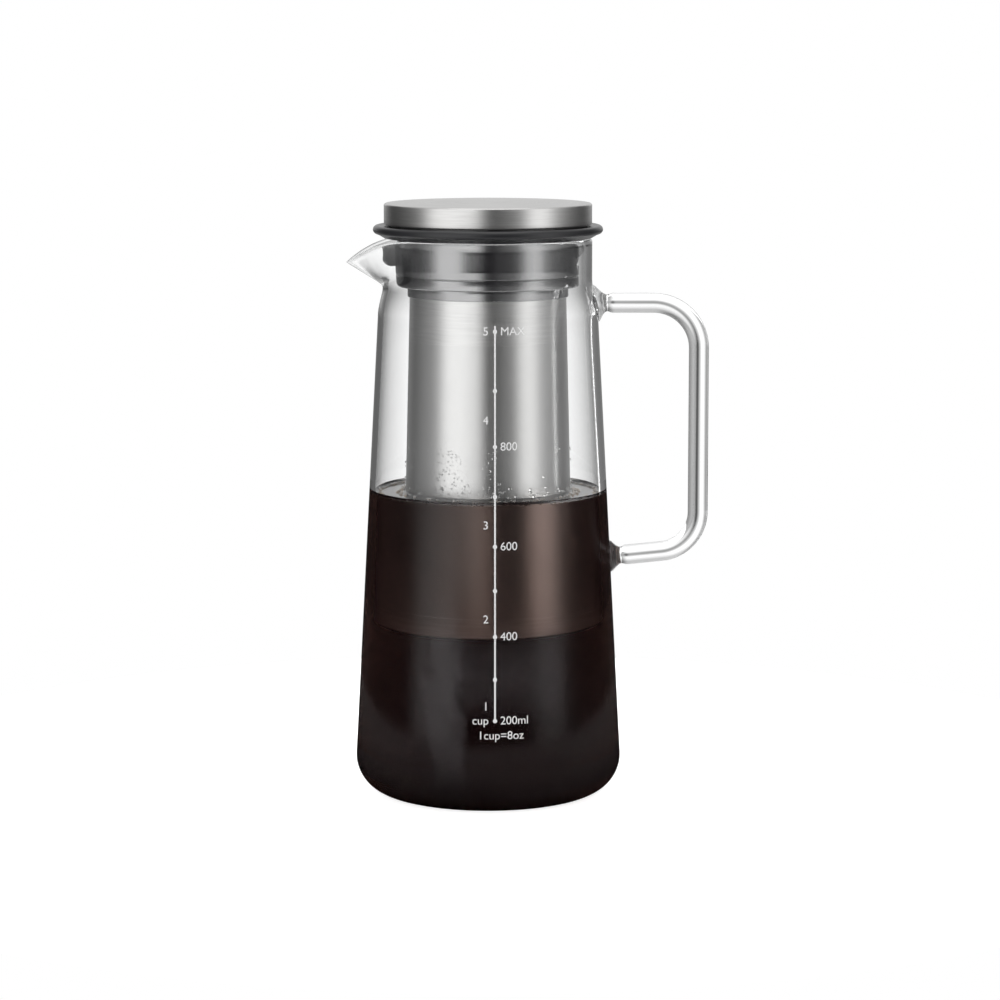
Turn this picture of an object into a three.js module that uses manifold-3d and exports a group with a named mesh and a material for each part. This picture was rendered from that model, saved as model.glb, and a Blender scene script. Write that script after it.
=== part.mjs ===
// A one-litre cold brew coffee maker in millimetres, +Z up, standing on z = 0 with its axis on the origin.
// A blown glass jug with a pulled spout (-X) and a bent rod handle (+X) holds a steel mesh filter, which hangs
// in the neck from a black holder with a silicone seal. A steel-capped plug closes the filter from above.
import * as THREE from 'three';
import { mergeVertices } from 'three/addons/utils/BufferGeometryUtils.js';
import Module from 'manifold-3d';

const wasm = await Module();
wasm.setup();

// Fits shared by every piece
const fitGap = 0.3;            // clearance between pieces that seat on each other
const cutOverrun = 4;          // how far a cutter runs past what it cuts

// Glass jug
const rimHeight = 210.3;
const bodyRadius = 50.2;
const coneTopRadius = 41.3;
const neckRadius = 39;
const neckLength = 15.3;
const shoulderLength = 14;
const glassWall = 2.1;
const floorThickness = 3.6;
const footCornerRadius = 14;

// Pulled spout
const spoutReach = 14.5;       // how far the tip stands out of the neck
const spoutDrop = 8.8;         // how far the tip sinks under the rim
const spoutDepth = 19.3;       // height of glass that is drawn out
const spoutSoftness = 3;       // height over which the pull starts
const spoutHalfAngle = 0.72;   // radians each side of the tip
const spoutTipRound = 0.05;    // radians of rounding at the tip
const spoutFlankPower = 1.6;
const spoutDropPower = 1.6;

// Handle, a bent glass rod fused on at both ends
const rodRadius = 3.75;
const handleReach = 79.2;      // axis of the jug to the middle of the grip
const handleTopDrop = 24.3;    // rim to the middle of the upper arm
const handleFootHeight = 90;
const topBendRadius = 17;
const footBendRadius = 15;
const lowerArmRise = 0.098;    // radians the lower arm climbs towards the grip
const weldLength = 4.4;
const topWeldFlare = 1.7;      // how much wider than the rod a weld spreads on the wall
const footWeldFlare = 2.8;

// Coffee
const fillHeight = 115;

// Silicone seal ring round the holder
const sleeveClearance = 2.9;   // sleeve to the neck's bore
const sealSleeveWall = 2.4;
const sealSleeveLength = 13.8;
const flangeOverhang = 4;      // how far the flange stands out of the neck
const flangeHeight = 4.2;
const flangeEdgeRound = 1.6;
const flangeEdgeDrop = 1.2;    // flange's top to the middle of its round edge
const hookReach = 2;           // hook that stands out of the sleeve on the handle side
const ventDepth = 3.8;         // V notch under the hook that lets air in
const ventLength = 5.4;
const tabReach = 4.5;          // tab that stands out into the spout and slows the pour
const tabRound = 1.9;
const tabWidth = 22;           // tab and hook alike
const tabHeight = 7.8;
const tabTopDrop = 2;          // glass rim to the top of the tab and of the hook

// Filter holder
const holderWall = 1.4;
const holderLipWidth = 2.3;
const holderLipHeight = 0.9;
const holderFootHeight = 4;
const holderSeatDrop = 9.7;    // holder's top to the ledge that carries the filter
const holderFootChamfer = 0.8;
const collarWall = 1.3;        // narrow collar that the holder keeps round the tube
const collarLength = 3.9;

// Steel filter
const steelSheet = 0.6;
const filterTopRadius = 27.9;  // the tube widens a little towards its foot
const filterFootRadius = 32.3;
const filterBandLength = 33;
const filterFootHeight = 63.5; // bottom of the filter above the table
const baseRingHeight = 8;
const lapLength = 4;           // how far the mesh slips into the bands
const baseRingLedge = 4;
const seamWidth = 4;
const seamThickness = 0.4;

// Lid: steel cap, plastic core with its cover, and O-ring
const capRadius = 38.9;
const capHeight = 8.2;
const capEdgeRound = 1.2;
const capCurl = 1.6;
const plugWall = 1.3;
const ringSection = 0.75;      // section radius of the O-ring
const ringDrop = 3.6;          // shelf of the core to the middle of the O-ring
const coverThickness = 1.3;
const coverLedge = 1.3;
const coreTopThickness = 1.5;

// Mesh fineness
const roundSteps = 44;
const jugSteps = 64;
const arcSteps = 3;
const rodSides = 12;
const ringSides = 6;
const rodSteps = 44;
const spoutColumnPower = 1.35; // crowds the jug's columns round the spout

// Heights and radii that follow from the sizes above
const neckFoot = rimHeight - neckLength;
const handleTopHeight = rimHeight - handleTopDrop;
const shoulderFoot = neckFoot - shoulderLength;
const wallLean = Math.atan((bodyRadius - coneTopRadius) / (shoulderFoot - footCornerRadius));
const footRadius = bodyRadius - footCornerRadius;
const neckBore = neckRadius - glassWall;
const sleeveRadius = neckBore - sleeveClearance;
const sleeveBore = sleeveRadius - sealSleeveWall;
const holderRadius = sleeveBore - fitGap;
const holderBore = holderRadius - holderWall;
const filterRimRadius = holderBore - fitGap;
const sealSeat = rimHeight + fitGap;
const holderTop = sealSeat + flangeHeight;
const holderLedge = holderTop - holderSeatDrop;
const sleeveFoot = sealSeat - sealSleeveLength;
const tabTop = rimHeight - tabTopDrop;
const tabFoot = tabTop - tabHeight;
const tabRoot = sleeveRadius - sealSleeveWall / 2;
const holderFoot = sleeveFoot - fitGap - holderFootHeight;
const filterRimFoot = holderLedge + fitGap;
const filterSlope = (filterFootRadius - filterTopRadius) / (filterRimFoot - filterFootHeight);
const lapInset = steelSheet + fitGap;
const bandFoot = filterRimFoot - filterBandLength;
const baseRingTop = filterFootHeight + baseRingHeight;
const coreShelf = holderTop + fitGap;
const plugFoot = filterRimFoot + steelSheet + fitGap;
const capFoot = coreShelf + fitGap;
const capTop = capFoot + capHeight;
const ringRadius = holderBore - fitGap - ringSection;

// Finishes
const clearGlass = { color: 0xf4f7f7, roughness: 0.03, metalness: 0, transparent: true, opacity: 0.3 };
const coffeeBrown = { color: 0x1d0d08, roughness: 0.08, metalness: 0 };
const blackSilicone = { color: 0x161618, roughness: 0.55, metalness: 0 };
const blackPlastic = { color: 0x101013, roughness: 0.2, metalness: 0 };
const brushedSteel = { color: 0xb9b8b5, roughness: 0.3, metalness: 1 };
const etchedSteel = { color: 0xa9a8a6, roughness: 0.42, metalness: 1 };

const coffeeMaker = new THREE.Group();

function addPiece(name, geometry, finish) {
  const piece = new THREE.Mesh(geometry, new THREE.MeshStandardMaterial(finish));
  piece.name = name;
  coffeeMaker.add(piece);
  return piece;
}

// Turns an outline drawn in (radius, height) round the upright axis
function turned(outline, steps = roundSteps, curveSteps = 1) {
  const drawn = outline.getPoints(curveSteps);
  const points = drawn.filter((point, i) => i === 0 || point.distanceTo(drawn[i - 1]) > fitGap / 1000);
  const geometry = new THREE.LatheGeometry(points, steps);
  geometry.rotateX(Math.PI / 2);
  return geometry;
}

// Manifold solids for the few pieces that are cut to fit
function toSolid(geometry) {
  const bare = geometry.clone();
  for (const name of Object.keys(bare.attributes)) {
    if (name !== 'position') bare.deleteAttribute(name);
  }
  const merged = mergeVertices(bare, fitGap / 1000);
  const triangles = [];
  const index = merged.index.array;
  for (let i = 0; i < index.length; i += 3) {
    const [a, b, c] = [index[i], index[i + 1], index[i + 2]];
    if (a !== b && b !== c && c !== a) triangles.push(a, b, c);
  }
  return new wasm.Manifold(new wasm.Mesh({
    numProp: 3,
    vertProperties: new Float32Array(merged.attributes.position.array),
    triVerts: new Uint32Array(triangles),
  }));
}

function toGeometry(solid) {
  const mesh = solid.getMesh();
  const geometry = new THREE.BufferGeometry();
  geometry.setAttribute('position', new THREE.BufferAttribute(new Float32Array(mesh.vertProperties), 3));
  geometry.setIndex(new THREE.BufferAttribute(new Uint32Array(mesh.triVerts), 1));
  geometry.computeVertexNormals();
  return geometry;
}

// Radius of the jug's outside on its straight cone
function coneRadius(height) {
  return coneTopRadius + (shoulderFoot - height) * Math.tan(wallLean);
}

// Radius of the filter tube's outside
function filterRadius(height) {
  return filterTopRadius + (filterRimFoot - height) * filterSlope;
}

// Outside of the jug from the middle of its foot up to the rim, grown by a margin
function jugOutside(outline, margin) {
  outline.moveTo(0, -margin);
  outline.lineTo(footRadius, -margin);
  outline.absarc(footRadius, footCornerRadius, footCornerRadius + margin, -Math.PI / 2, wallLean);
  outline.lineTo(coneTopRadius + margin, shoulderFoot);
  outline.bezierCurveTo(
    coneTopRadius + margin, shoulderFoot + shoulderLength / 3,
    neckRadius + margin, neckFoot - shoulderLength / 3,
    neckRadius + margin, neckFoot,
  );
}

function glassOutline() {
  const outline = new THREE.Path();
  const rimRound = glassWall / 2;
  const innerCorner = footCornerRadius - glassWall;
  const innerCornerHeight = floorThickness + innerCorner;
  jugOutside(outline, 0);
  outline.lineTo(neckRadius, rimHeight - spoutDepth / 3);
  outline.lineTo(neckRadius, rimHeight - rimRound);
  outline.absarc(neckRadius - rimRound, rimHeight - rimRound, rimRound, 0, Math.PI);
  outline.lineTo(neckBore, rimHeight - spoutDepth / 3);
  outline.lineTo(neckBore, neckFoot);
  outline.bezierCurveTo(
    neckBore, neckFoot - shoulderLength / 3,
    coneTopRadius - glassWall, shoulderFoot + shoulderLength / 3,
    coneTopRadius - glassWall, shoulderFoot,
  );
  outline.absarc(footRadius, innerCornerHeight, innerCorner, wallLean, -Math.PI / 2, true);
  outline.lineTo(0, floorThickness);
  return outline;
}

// Draws a point of the neck out into the spout; the pull fades with height below the rim and to both sides
function pullSpout(point) {
  const side = Math.abs(Math.atan2(point.y, -point.x));
  const rounded = Math.hypot(side, spoutTipRound) - spoutTipRound;
  const fade = Math.max(0, 1 - rounded / spoutHalfAngle);
  const share = fade ** spoutFlankPower;
  const rise = Math.max(0, point.z - (rimHeight - spoutDepth));
  const soft = rise < spoutSoftness ? rise * rise / (2 * spoutSoftness) : rise - spoutSoftness / 2;
  const pull = soft / (spoutDepth - spoutSoftness / 2);
  const radius = Math.hypot(point.x, point.y);
  const scale = radius > 0 ? (radius + spoutReach * share * pull) / radius : 1;
  point.x *= scale;
  point.y *= scale;
  point.z -= spoutDrop * share ** spoutDropPower * pull;
}

function glassJug() {
  const geometry = turned(glassOutline(), jugSteps, arcSteps);
  const position = geometry.attributes.position;
  const point = new THREE.Vector3();
  for (let i = 0; i < position.count; i++) {
    point.fromBufferAttribute(position, i);
    const radius = Math.hypot(point.x, point.y);
    const angle = Math.atan2(point.y, -point.x);
    const crowded = Math.PI * Math.sign(angle) * (Math.abs(angle) / Math.PI) ** spoutColumnPower;
    point.set(-radius * Math.cos(crowded), radius * Math.sin(crowded), point.z);
    pullSpout(point);
    position.setXYZ(i, point.x, point.y, point.z);
  }
  geometry.computeVertexNormals();
  return geometry;
}

// Middle line of the handle, drawn in the plane through the spout and the handle
class HandleLine extends THREE.Curve {
  constructor() {
    super();
    const topStart = coneTopRadius + weldLength + fitGap;
    const footEnd = coneRadius(handleFootHeight) + weldLength + fitGap;
    const footBendX = handleReach - footBendRadius;
    const armReach = footBendX + footBendRadius * Math.sin(lowerArmRise) - footEnd;
    const footArmHeight = handleFootHeight + (weldLength + fitGap) * Math.tan(lowerArmRise);
    const footBendHeight = footArmHeight + footBendRadius * Math.cos(lowerArmRise) + armReach * Math.tan(lowerArmRise);
    this.line = new THREE.Path();
    this.line.moveTo(topStart, handleTopHeight);
    this.line.lineTo(handleReach - topBendRadius, handleTopHeight);
    this.line.absarc(handleReach - topBendRadius, handleTopHeight - topBendRadius, topBendRadius, Math.PI / 2, 0, true);
    this.line.lineTo(handleReach, footBendHeight);
    this.line.absarc(footBendX, footBendHeight, footBendRadius, 0, lowerArmRise - Math.PI / 2, true);
    this.line.lineTo(footEnd, footArmHeight);
  }

  getPoint(share) {
    const at = this.line.getPoint(share);
    return new THREE.Vector3(at.x, 0, at.y);
  }
}

function glassHandle() {
  const section = new THREE.Shape();
  for (let i = 0; i < rodSides; i++) {
    const angle = i * 2 * Math.PI / rodSides;
    const corner = [rodRadius * Math.cos(angle), rodRadius * Math.sin(angle)];
    if (i === 0) section.moveTo(...corner);
    else section.lineTo(...corner);
  }
  section.closePath();
  return new THREE.ExtrudeGeometry(section, { steps: rodSteps, extrudePath: new HandleLine(), bevelEnabled: false });
}

// A gob of fused glass that flares from the end of the rod onto the wall, cut to the wall's own curve
function handleWeld(wallRadius, height, flare, rise) {
  const outline = new THREE.Path();
  const spread = rodRadius + flare;
  outline.moveTo(0, -cutOverrun);
  outline.lineTo(spread, -cutOverrun);
  outline.lineTo(spread, -flare / 2);
  outline.quadraticCurveTo(rodRadius, 0, rodRadius, weldLength);
  outline.lineTo(0, weldLength);
  const gob = new THREE.LatheGeometry(outline.getPoints(arcSteps), rodSides * 2);
  gob.rotateZ(-Math.PI / 2);
  gob.rotateY(-rise);
  gob.translate(wallRadius, 0, height);
  const wall = new THREE.Path();
  jugOutside(wall, fitGap);
  wall.lineTo(neckRadius + fitGap, rimHeight);
  wall.lineTo(0, rimHeight);
  return toGeometry(toSolid(gob).subtract(toSolid(turned(wall, jugSteps, arcSteps))));
}

// The brew fills the jug round the filter up to the fill height
function brewedCoffee() {
  const outline = new THREE.Path();
  const innerCorner = footCornerRadius - glassWall;
  const wellRadius = filterFootRadius + fitGap + seamThickness + fitGap;
  outline.moveTo(0, floorThickness + fitGap);
  outline.lineTo(footRadius, floorThickness + fitGap);
  outline.absarc(footRadius, floorThickness + innerCorner, innerCorner - fitGap, -Math.PI / 2, wallLean);
  outline.lineTo(coneRadius(fillHeight) - glassWall - fitGap, fillHeight);
  outline.lineTo(wellRadius, fillHeight);
  outline.lineTo(wellRadius, filterFootHeight - fitGap);
  outline.lineTo(0, filterFootHeight - fitGap);
  return turned(outline, roundSteps, arcSteps);
}

// Seal ring: a flange with a round lip on the glass rim, and a sleeve with a pour tab and an air notch
function sealRing() {
  const outline = new THREE.Path();
  const lipSeat = holderTop - holderLipHeight - fitGap;
  const lipClear = holderRadius + holderLipWidth + fitGap;
  const flangeRadius = neckRadius + flangeOverhang;
  const edgeHeight = holderTop - flangeEdgeDrop;
  const edgeRadius = flangeRadius - flangeEdgeRound;
  outline.moveTo(sleeveBore, sleeveFoot);
  outline.lineTo(sleeveRadius, sleeveFoot);
  outline.lineTo(sleeveRadius, sealSeat);
  outline.lineTo(neckRadius, sealSeat);
  outline.absarc(edgeRadius, edgeHeight, flangeEdgeRound, -Math.PI / 2, Math.PI / 2);
  outline.quadraticCurveTo(neckRadius, holderTop, lipClear, holderTop);
  outline.lineTo(lipClear, lipSeat);
  outline.lineTo(sleeveBore, lipSeat);
  outline.closePath();
  const ring = toSolid(turned(outline, roundSteps, arcSteps)).add(pourTab()).add(airHook());
  return toGeometry(ring.subtract(toSolid(ventCutter())));
}

// Stretch of a turned outline on one side of the axis: 1 on the handle's side, -1 on the spout's
function stretchOf(outline, side) {
  const reach = neckRadius + cutOverrun;
  const stretch = new THREE.BoxGeometry(reach, tabWidth, rimHeight);
  stretch.translate(side * reach / 2, 0, rimHeight);
  return toSolid(turned(outline)).intersect(toSolid(stretch));
}

// Tab in the spout's mouth
function pourTab() {
  const outline = new THREE.Path();
  const tabRadius = sleeveRadius + tabReach;
  outline.moveTo(tabRoot, tabFoot);
  outline.lineTo(tabRadius - tabRound, tabFoot);
  outline.absarc(tabRadius - tabRound, tabFoot + tabRound, tabRound, -Math.PI / 2, 0);
  outline.lineTo(tabRadius, tabTop);
  outline.lineTo(tabRoot, tabTop);
  outline.closePath();
  return stretchOf(outline, -1);
}

// Hook on the handle's side, whose underside the air notch cuts
function airHook() {
  const outline = new THREE.Path();
  outline.moveTo(tabRoot, tabFoot);
  outline.lineTo(sleeveRadius + hookReach, tabFoot);
  outline.lineTo(sleeveRadius + hookReach, tabTop);
  outline.lineTo(tabRoot, tabTop);
  outline.closePath();
  return stretchOf(outline, 1);
}

// V-shaped prism across the hook and the sleeve behind it
function ventCutter() {
  const notch = new THREE.Shape();
  const hookRadius = sleeveRadius + hookReach;
  const notchRadius = hookRadius - ventDepth;
  notch.moveTo(hookRadius + cutOverrun, tabFoot + ventLength);
  notch.lineTo(hookRadius, tabFoot + ventLength);
  notch.lineTo(notchRadius, tabFoot);
  notch.lineTo(hookRadius + cutOverrun, tabFoot);
  notch.closePath();
  const notchHalfWidth = Math.sqrt(hookRadius ** 2 - notchRadius ** 2) + cutOverrun;
  const cutter = new THREE.ExtrudeGeometry(notch, { depth: 2 * notchHalfWidth, bevelEnabled: false });
  cutter.rotateX(Math.PI / 2);
  cutter.translate(0, notchHalfWidth, 0);
  return cutter;
}

// Black ring whose ledge carries the filter's rim and whose upper bore takes the lid's plug
function filterHolder() {
  const outline = new THREE.Path();
  const footTop = holderFoot + holderFootHeight;
  const collarFoot = holderFoot - collarLength;
  const collarBore = filterRadius(collarFoot) + fitGap;
  const ledgeBore = filterRadius(holderLedge) + fitGap;
  outline.moveTo(collarBore, collarFoot);
  outline.lineTo(collarBore + collarWall, collarFoot);
  outline.lineTo(collarBore + collarWall, holderFoot);
  outline.lineTo(sleeveRadius - holderFootChamfer, holderFoot);
  outline.lineTo(sleeveRadius, holderFoot + holderFootChamfer);
  outline.lineTo(sleeveRadius, footTop);
  outline.lineTo(holderRadius, footTop);
  outline.lineTo(holderRadius, holderTop - holderLipHeight);
  outline.lineTo(holderRadius + holderLipWidth, holderTop - holderLipHeight);
  outline.lineTo(holderRadius + holderLipWidth, holderTop);
  outline.lineTo(holderBore, holderTop);
  outline.lineTo(holderBore, holderLedge);
  outline.lineTo(ledgeBore, holderLedge);
  outline.closePath();
  return turned(outline);
}

// Plain steel band with the turned-out rim that hangs on the holder's ledge
function filterRimBand() {
  const outline = new THREE.Path();
  outline.moveTo(filterRadius(bandFoot) - steelSheet, bandFoot);
  outline.lineTo(filterRadius(bandFoot), bandFoot);
  outline.lineTo(filterTopRadius, filterRimFoot);
  outline.lineTo(filterRimRadius, filterRimFoot);
  outline.lineTo(filterRimRadius, filterRimFoot + steelSheet);
  outline.lineTo(filterTopRadius - steelSheet, filterRimFoot + steelSheet);
  outline.closePath();
  return turned(outline);
}

// Fine mesh tube, joggled inwards at both ends to slip into the bands
function filterMesh() {
  const outline = new THREE.Path();
  const top = bandFoot - fitGap;
  const foot = baseRingTop + fitGap;
  const footLap = filterRadius(foot) - lapInset;
  const topLap = filterRadius(top + lapLength) - lapInset;
  outline.moveTo(footLap - steelSheet, foot - lapLength);
  outline.lineTo(footLap, foot - lapLength);
  outline.lineTo(footLap, foot);
  outline.lineTo(filterRadius(foot), foot);
  outline.lineTo(filterRadius(top), top);
  outline.lineTo(topLap, top);
  outline.lineTo(topLap, top + lapLength);
  outline.lineTo(topLap - steelSheet, top + lapLength);
  outline.closePath();
  return turned(outline);
}

// Flat strip that covers the mesh's welded lap, on the far side
function filterSeam() {
  const top = bandFoot - fitGap;
  const foot = baseRingTop + fitGap;
  const middle = (top + foot) / 2;
  const strip = new THREE.BoxGeometry(seamWidth, seamThickness, top - foot);
  strip.rotateX(Math.atan(filterSlope));
  strip.translate(0, filterRadius(middle) + fitGap + seamThickness / 2, middle);
  return strip;
}

function filterBaseRing() {
  const outline = new THREE.Path();
  const ledgeBore = filterFootRadius - steelSheet - baseRingLedge;
  const cornerTop = filterFootHeight + steelSheet;
  outline.moveTo(ledgeBore, filterFootHeight);
  outline.lineTo(filterFootRadius - steelSheet, filterFootHeight);
  outline.lineTo(filterRadius(cornerTop), cornerTop);
  outline.lineTo(filterRadius(baseRingTop), baseRingTop);
  outline.lineTo(filterRadius(baseRingTop) - steelSheet, baseRingTop);
  outline.lineTo(filterRadius(cornerTop) - steelSheet, cornerTop);
  outline.lineTo(ledgeBore, cornerTop);
  outline.closePath();
  return turned(outline);
}

function disc(radius, foot, thickness) {
  const outline = new THREE.Path();
  outline.moveTo(0, foot);
  outline.lineTo(radius, foot);
  outline.lineTo(radius, foot + thickness);
  outline.lineTo(0, foot + thickness);
  return turned(outline);
}

// Drawn steel shell, its skirt curled in under the core
function lidCap() {
  const outline = new THREE.Path();
  const skirtBore = capRadius - steelSheet;
  const curlTop = capFoot + steelSheet;
  outline.moveTo(0, capTop - steelSheet);
  outline.lineTo(skirtBore, capTop - steelSheet);
  outline.lineTo(skirtBore, curlTop);
  outline.lineTo(capRadius - capCurl, curlTop);
  outline.lineTo(capRadius - capCurl, capFoot);
  outline.lineTo(skirtBore, capFoot);
  outline.lineTo(capRadius, curlTop);
  outline.absarc(capRadius - capEdgeRound, capTop - capEdgeRound, capEdgeRound, 0, Math.PI / 2);
  outline.lineTo(0, capTop);
  return turned(outline);
}

// Plastic core: a disc that fills the cap and a hollow plug with the O-ring's groove
function lidCore() {
  const outline = new THREE.Path();
  const discRadius = capRadius - steelSheet - fitGap;
  const discFoot = capFoot + steelSheet + fitGap;
  const discTop = capTop - steelSheet - fitGap;
  const shelfRadius = capRadius - capCurl - fitGap;
  const plugRadius = ringRadius;
  const grooveRadius = ringRadius - ringSection - fitGap;
  const grooveTop = coreShelf - ringDrop + ringSection + fitGap;
  const grooveFoot = coreShelf - ringDrop - ringSection - fitGap;
  const coverBore = grooveRadius - plugWall;
  const hollowRadius = coverBore - coverLedge;
  const coverSeat = plugFoot + coverThickness + fitGap;
  outline.moveTo(0, discTop - coreTopThickness);
  outline.lineTo(hollowRadius, discTop - coreTopThickness);
  outline.lineTo(hollowRadius, coverSeat);
  outline.lineTo(coverBore, coverSeat);
  outline.lineTo(coverBore, plugFoot);
  outline.lineTo(plugRadius, plugFoot);
  outline.lineTo(plugRadius, grooveFoot);
  outline.lineTo(grooveRadius, grooveFoot);
  outline.lineTo(grooveRadius, grooveTop);
  outline.lineTo(plugRadius, grooveTop);
  outline.lineTo(plugRadius, coreShelf);
  outline.lineTo(shelfRadius, coreShelf);
  outline.lineTo(shelfRadius, discFoot);
  outline.lineTo(discRadius, discFoot);
  outline.lineTo(discRadius, discTop);
  outline.lineTo(0, discTop);
  return turned(outline);
}

function plugCover() {
  const coverRadius = ringRadius - ringSection - fitGap - plugWall - fitGap;
  return disc(coverRadius, plugFoot, coverThickness);
}

function plugRing() {
  const ring = new THREE.TorusGeometry(ringRadius, ringSection, ringSides, roundSteps);
  ring.translate(0, 0, coreShelf - ringDrop);
  return ring;
}

addPiece('glass_jug', glassJug(), clearGlass);
addPiece('glass_handle', glassHandle(), clearGlass);
addPiece('handle_weld_top', handleWeld(coneTopRadius, handleTopHeight, topWeldFlare, 0), clearGlass);
addPiece(
  'handle_weld_bottom',
  handleWeld(coneRadius(handleFootHeight), handleFootHeight, footWeldFlare, lowerArmRise),
  clearGlass,
);
addPiece('brewed_coffee', brewedCoffee(), coffeeBrown);
addPiece('seal_ring', sealRing(), blackSilicone);
addPiece('filter_holder', filterHolder(), blackPlastic);
addPiece('filter_rim_band', filterRimBand(), brushedSteel);
addPiece('filter_mesh', filterMesh(), etchedSteel);
addPiece('filter_seam_strip', filterSeam(), brushedSteel);
addPiece('filter_base_ring', filterBaseRing(), brushedSteel);
addPiece(
  'filter_base_disc',
  disc(filterFootRadius - 2 * lapInset, filterFootHeight + lapInset, steelSheet),
  etchedSteel,
);
addPiece('lid_cap', lidCap(), brushedSteel);
addPiece('lid_core', lidCore(), blackPlastic);
addPiece('plug_cover', plugCover(), blackPlastic);
addPiece('plug_o_ring', plugRing(), blackSilicone);

export default coffeeMaker;
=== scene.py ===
"""Looks of the cold brew coffee maker: clear blown glass, steel mesh filter, black holder and the brew."""
import math

import bmesh
import bpy
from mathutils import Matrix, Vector


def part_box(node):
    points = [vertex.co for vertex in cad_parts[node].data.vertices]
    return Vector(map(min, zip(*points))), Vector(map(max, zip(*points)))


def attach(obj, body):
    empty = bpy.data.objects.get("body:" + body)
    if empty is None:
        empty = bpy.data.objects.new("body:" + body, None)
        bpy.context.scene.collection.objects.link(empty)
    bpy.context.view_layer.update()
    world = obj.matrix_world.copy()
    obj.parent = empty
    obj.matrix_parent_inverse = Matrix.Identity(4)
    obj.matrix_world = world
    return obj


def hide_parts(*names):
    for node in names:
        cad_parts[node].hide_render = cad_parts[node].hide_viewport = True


bl_info = {
    "name": "Cold brew coffee maker",
    "version": (1, 0, 0),
    "blender": (4, 5, 0),
    "location": "View3D > Sidebar > Coffee maker",
    "description": "Builds the glass, steel and brew of a one-litre cold brew coffee maker",
    "category": "Object",
}

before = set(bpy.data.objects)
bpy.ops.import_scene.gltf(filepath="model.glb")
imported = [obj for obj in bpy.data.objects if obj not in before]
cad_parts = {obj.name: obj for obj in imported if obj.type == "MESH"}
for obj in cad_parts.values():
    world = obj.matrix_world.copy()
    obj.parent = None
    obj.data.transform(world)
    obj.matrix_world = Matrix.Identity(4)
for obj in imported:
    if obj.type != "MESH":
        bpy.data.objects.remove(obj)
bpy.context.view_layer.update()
MM = 0.001

# Sizes read from the solid model, in metres
JUG_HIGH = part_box("glass_jug")[1]
BREW_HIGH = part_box("brewed_coffee")[1]
BASE_LOW, BASE_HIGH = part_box("filter_base_ring")
BAND_LOW, BAND_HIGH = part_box("filter_rim_band")
CAP_LOW, CAP_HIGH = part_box("lid_cap")
SEAL_LOW, SEAL_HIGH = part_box("seal_ring")
HOLDER_LOW, HOLDER_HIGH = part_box("filter_holder")

# Jug's outside, as the solid model has it
RIM_HEIGHT = JUG_HIGH.z
BODY_RADIUS = JUG_HIGH.y
CONE_TOP_RADIUS = 41.3 * MM
NECK_RADIUS = 39 * MM
NECK_LENGTH = 15.3 * MM
SHOULDER_LENGTH = 14 * MM
GLASS_WALL = 2.1 * MM
FLOOR_THICKNESS = 3.6 * MM
FOOT_CORNER = 14 * MM
SPOUT_REACH = 14.5 * MM
SPOUT_DROP = 8.8 * MM
SPOUT_DEPTH = 19.3 * MM
SPOUT_SOFTNESS = 3 * MM
SPOUT_HALF_ANGLE = 0.72
SPOUT_TIP_ROUND = 0.05
SPOUT_FLANK_POWER = 1.6
SPOUT_DROP_POWER = 1.6
SPOUT_COLUMN_POWER = 1.35
NECK_FOOT = RIM_HEIGHT - NECK_LENGTH
SHOULDER_FOOT = NECK_FOOT - SHOULDER_LENGTH
WALL_LEAN = math.atan((BODY_RADIUS - CONE_TOP_RADIUS) / (SHOULDER_FOOT - FOOT_CORNER))
FOOT_RADIUS = BODY_RADIUS - FOOT_CORNER
NECK_BORE = NECK_RADIUS - GLASS_WALL

# Handle rod
ROD_RADIUS = 3.75 * MM
HANDLE_REACH = 79.2 * MM
HANDLE_TOP = 186 * MM
HANDLE_FOOT = 90 * MM
TOP_BEND = 17 * MM
FOOT_BEND = 15 * MM
ARM_RISE = 0.098
FUSE_GAP = 0.05 * MM
GOB_STEP = 0.35 * MM
GOB_LENGTH = 8.7 * MM
TOP_FLARE = 3.2 * MM
FOOT_FLARE = 2.2 * MM
FLARE_FADE = 1.8 * MM
GOB_WAIST = 0.6 * MM
GOB_WAIST_PLACE = 4 * MM
GOB_WAIST_FADE = 1.3 * MM
WALL_PULL_FADE = 2.6 * MM

# Filter tube
STEEL_SHEET = 0.6 * MM
TUBE_TOP_RADIUS = 27.9 * MM
TUBE_WAIST_RADIUS = 29.3 * MM
TUBE_FOOT_RADIUS = 32.3 * MM
TUBE_TOP = BAND_HIGH.z - STEEL_SHEET
TUBE_WAIST = HOLDER_LOW.z + 2 * MM
BAND_MIDDLE = 180 * MM
BASE_LEDGE = 4.6 * MM
BASE_CORNER = 1.2 * MM
RIM_FOLD = 0.4 * MM
CAP_EDGE = 0.7 * MM
CAP_LIP = 1 * MM
CAP_CROWN = 0.25 * MM
TUBE_SLOPE = (TUBE_FOOT_RADIUS - TUBE_WAIST_RADIUS) / (TUBE_WAIST - BASE_LOW.z)

# Seal ring and filter holder
FIT_GAP = 0.3 * MM
SLEEVE_RADIUS = 34 * MM
SLEEVE_BORE = 31.6 * MM
FLANGE_ROUND = 1.6 * MM
SEAL_SEAT = RIM_HEIGHT + FIT_GAP
HOLDER_TOP = HOLDER_HIGH.z
HOLDER_BORE = 29.9 * MM
HOLDER_LIP = 33.6 * MM
HOLDER_LIP_HEIGHT = 0.9 * MM
HOLDER_LEDGE = TUBE_TOP - FIT_GAP
HOLDER_FOOT = 192.5 * MM
HOLDER_COLLAR_WALL = 0.75 * MM
HOLDER_CLEARANCE = 0.1 * MM
TAB_TOP = RIM_HEIGHT - 2 * MM
TAB_FOOT = TAB_TOP - 7.8 * MM
TAB_RADIUS = 38.5 * MM
TAB_ROUND = 1.9 * MM
TAB_HALF_WIDTH = 11 * MM
HOOK_RADIUS = 36 * MM
VENT_DEPTH = 3.8 * MM
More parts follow.
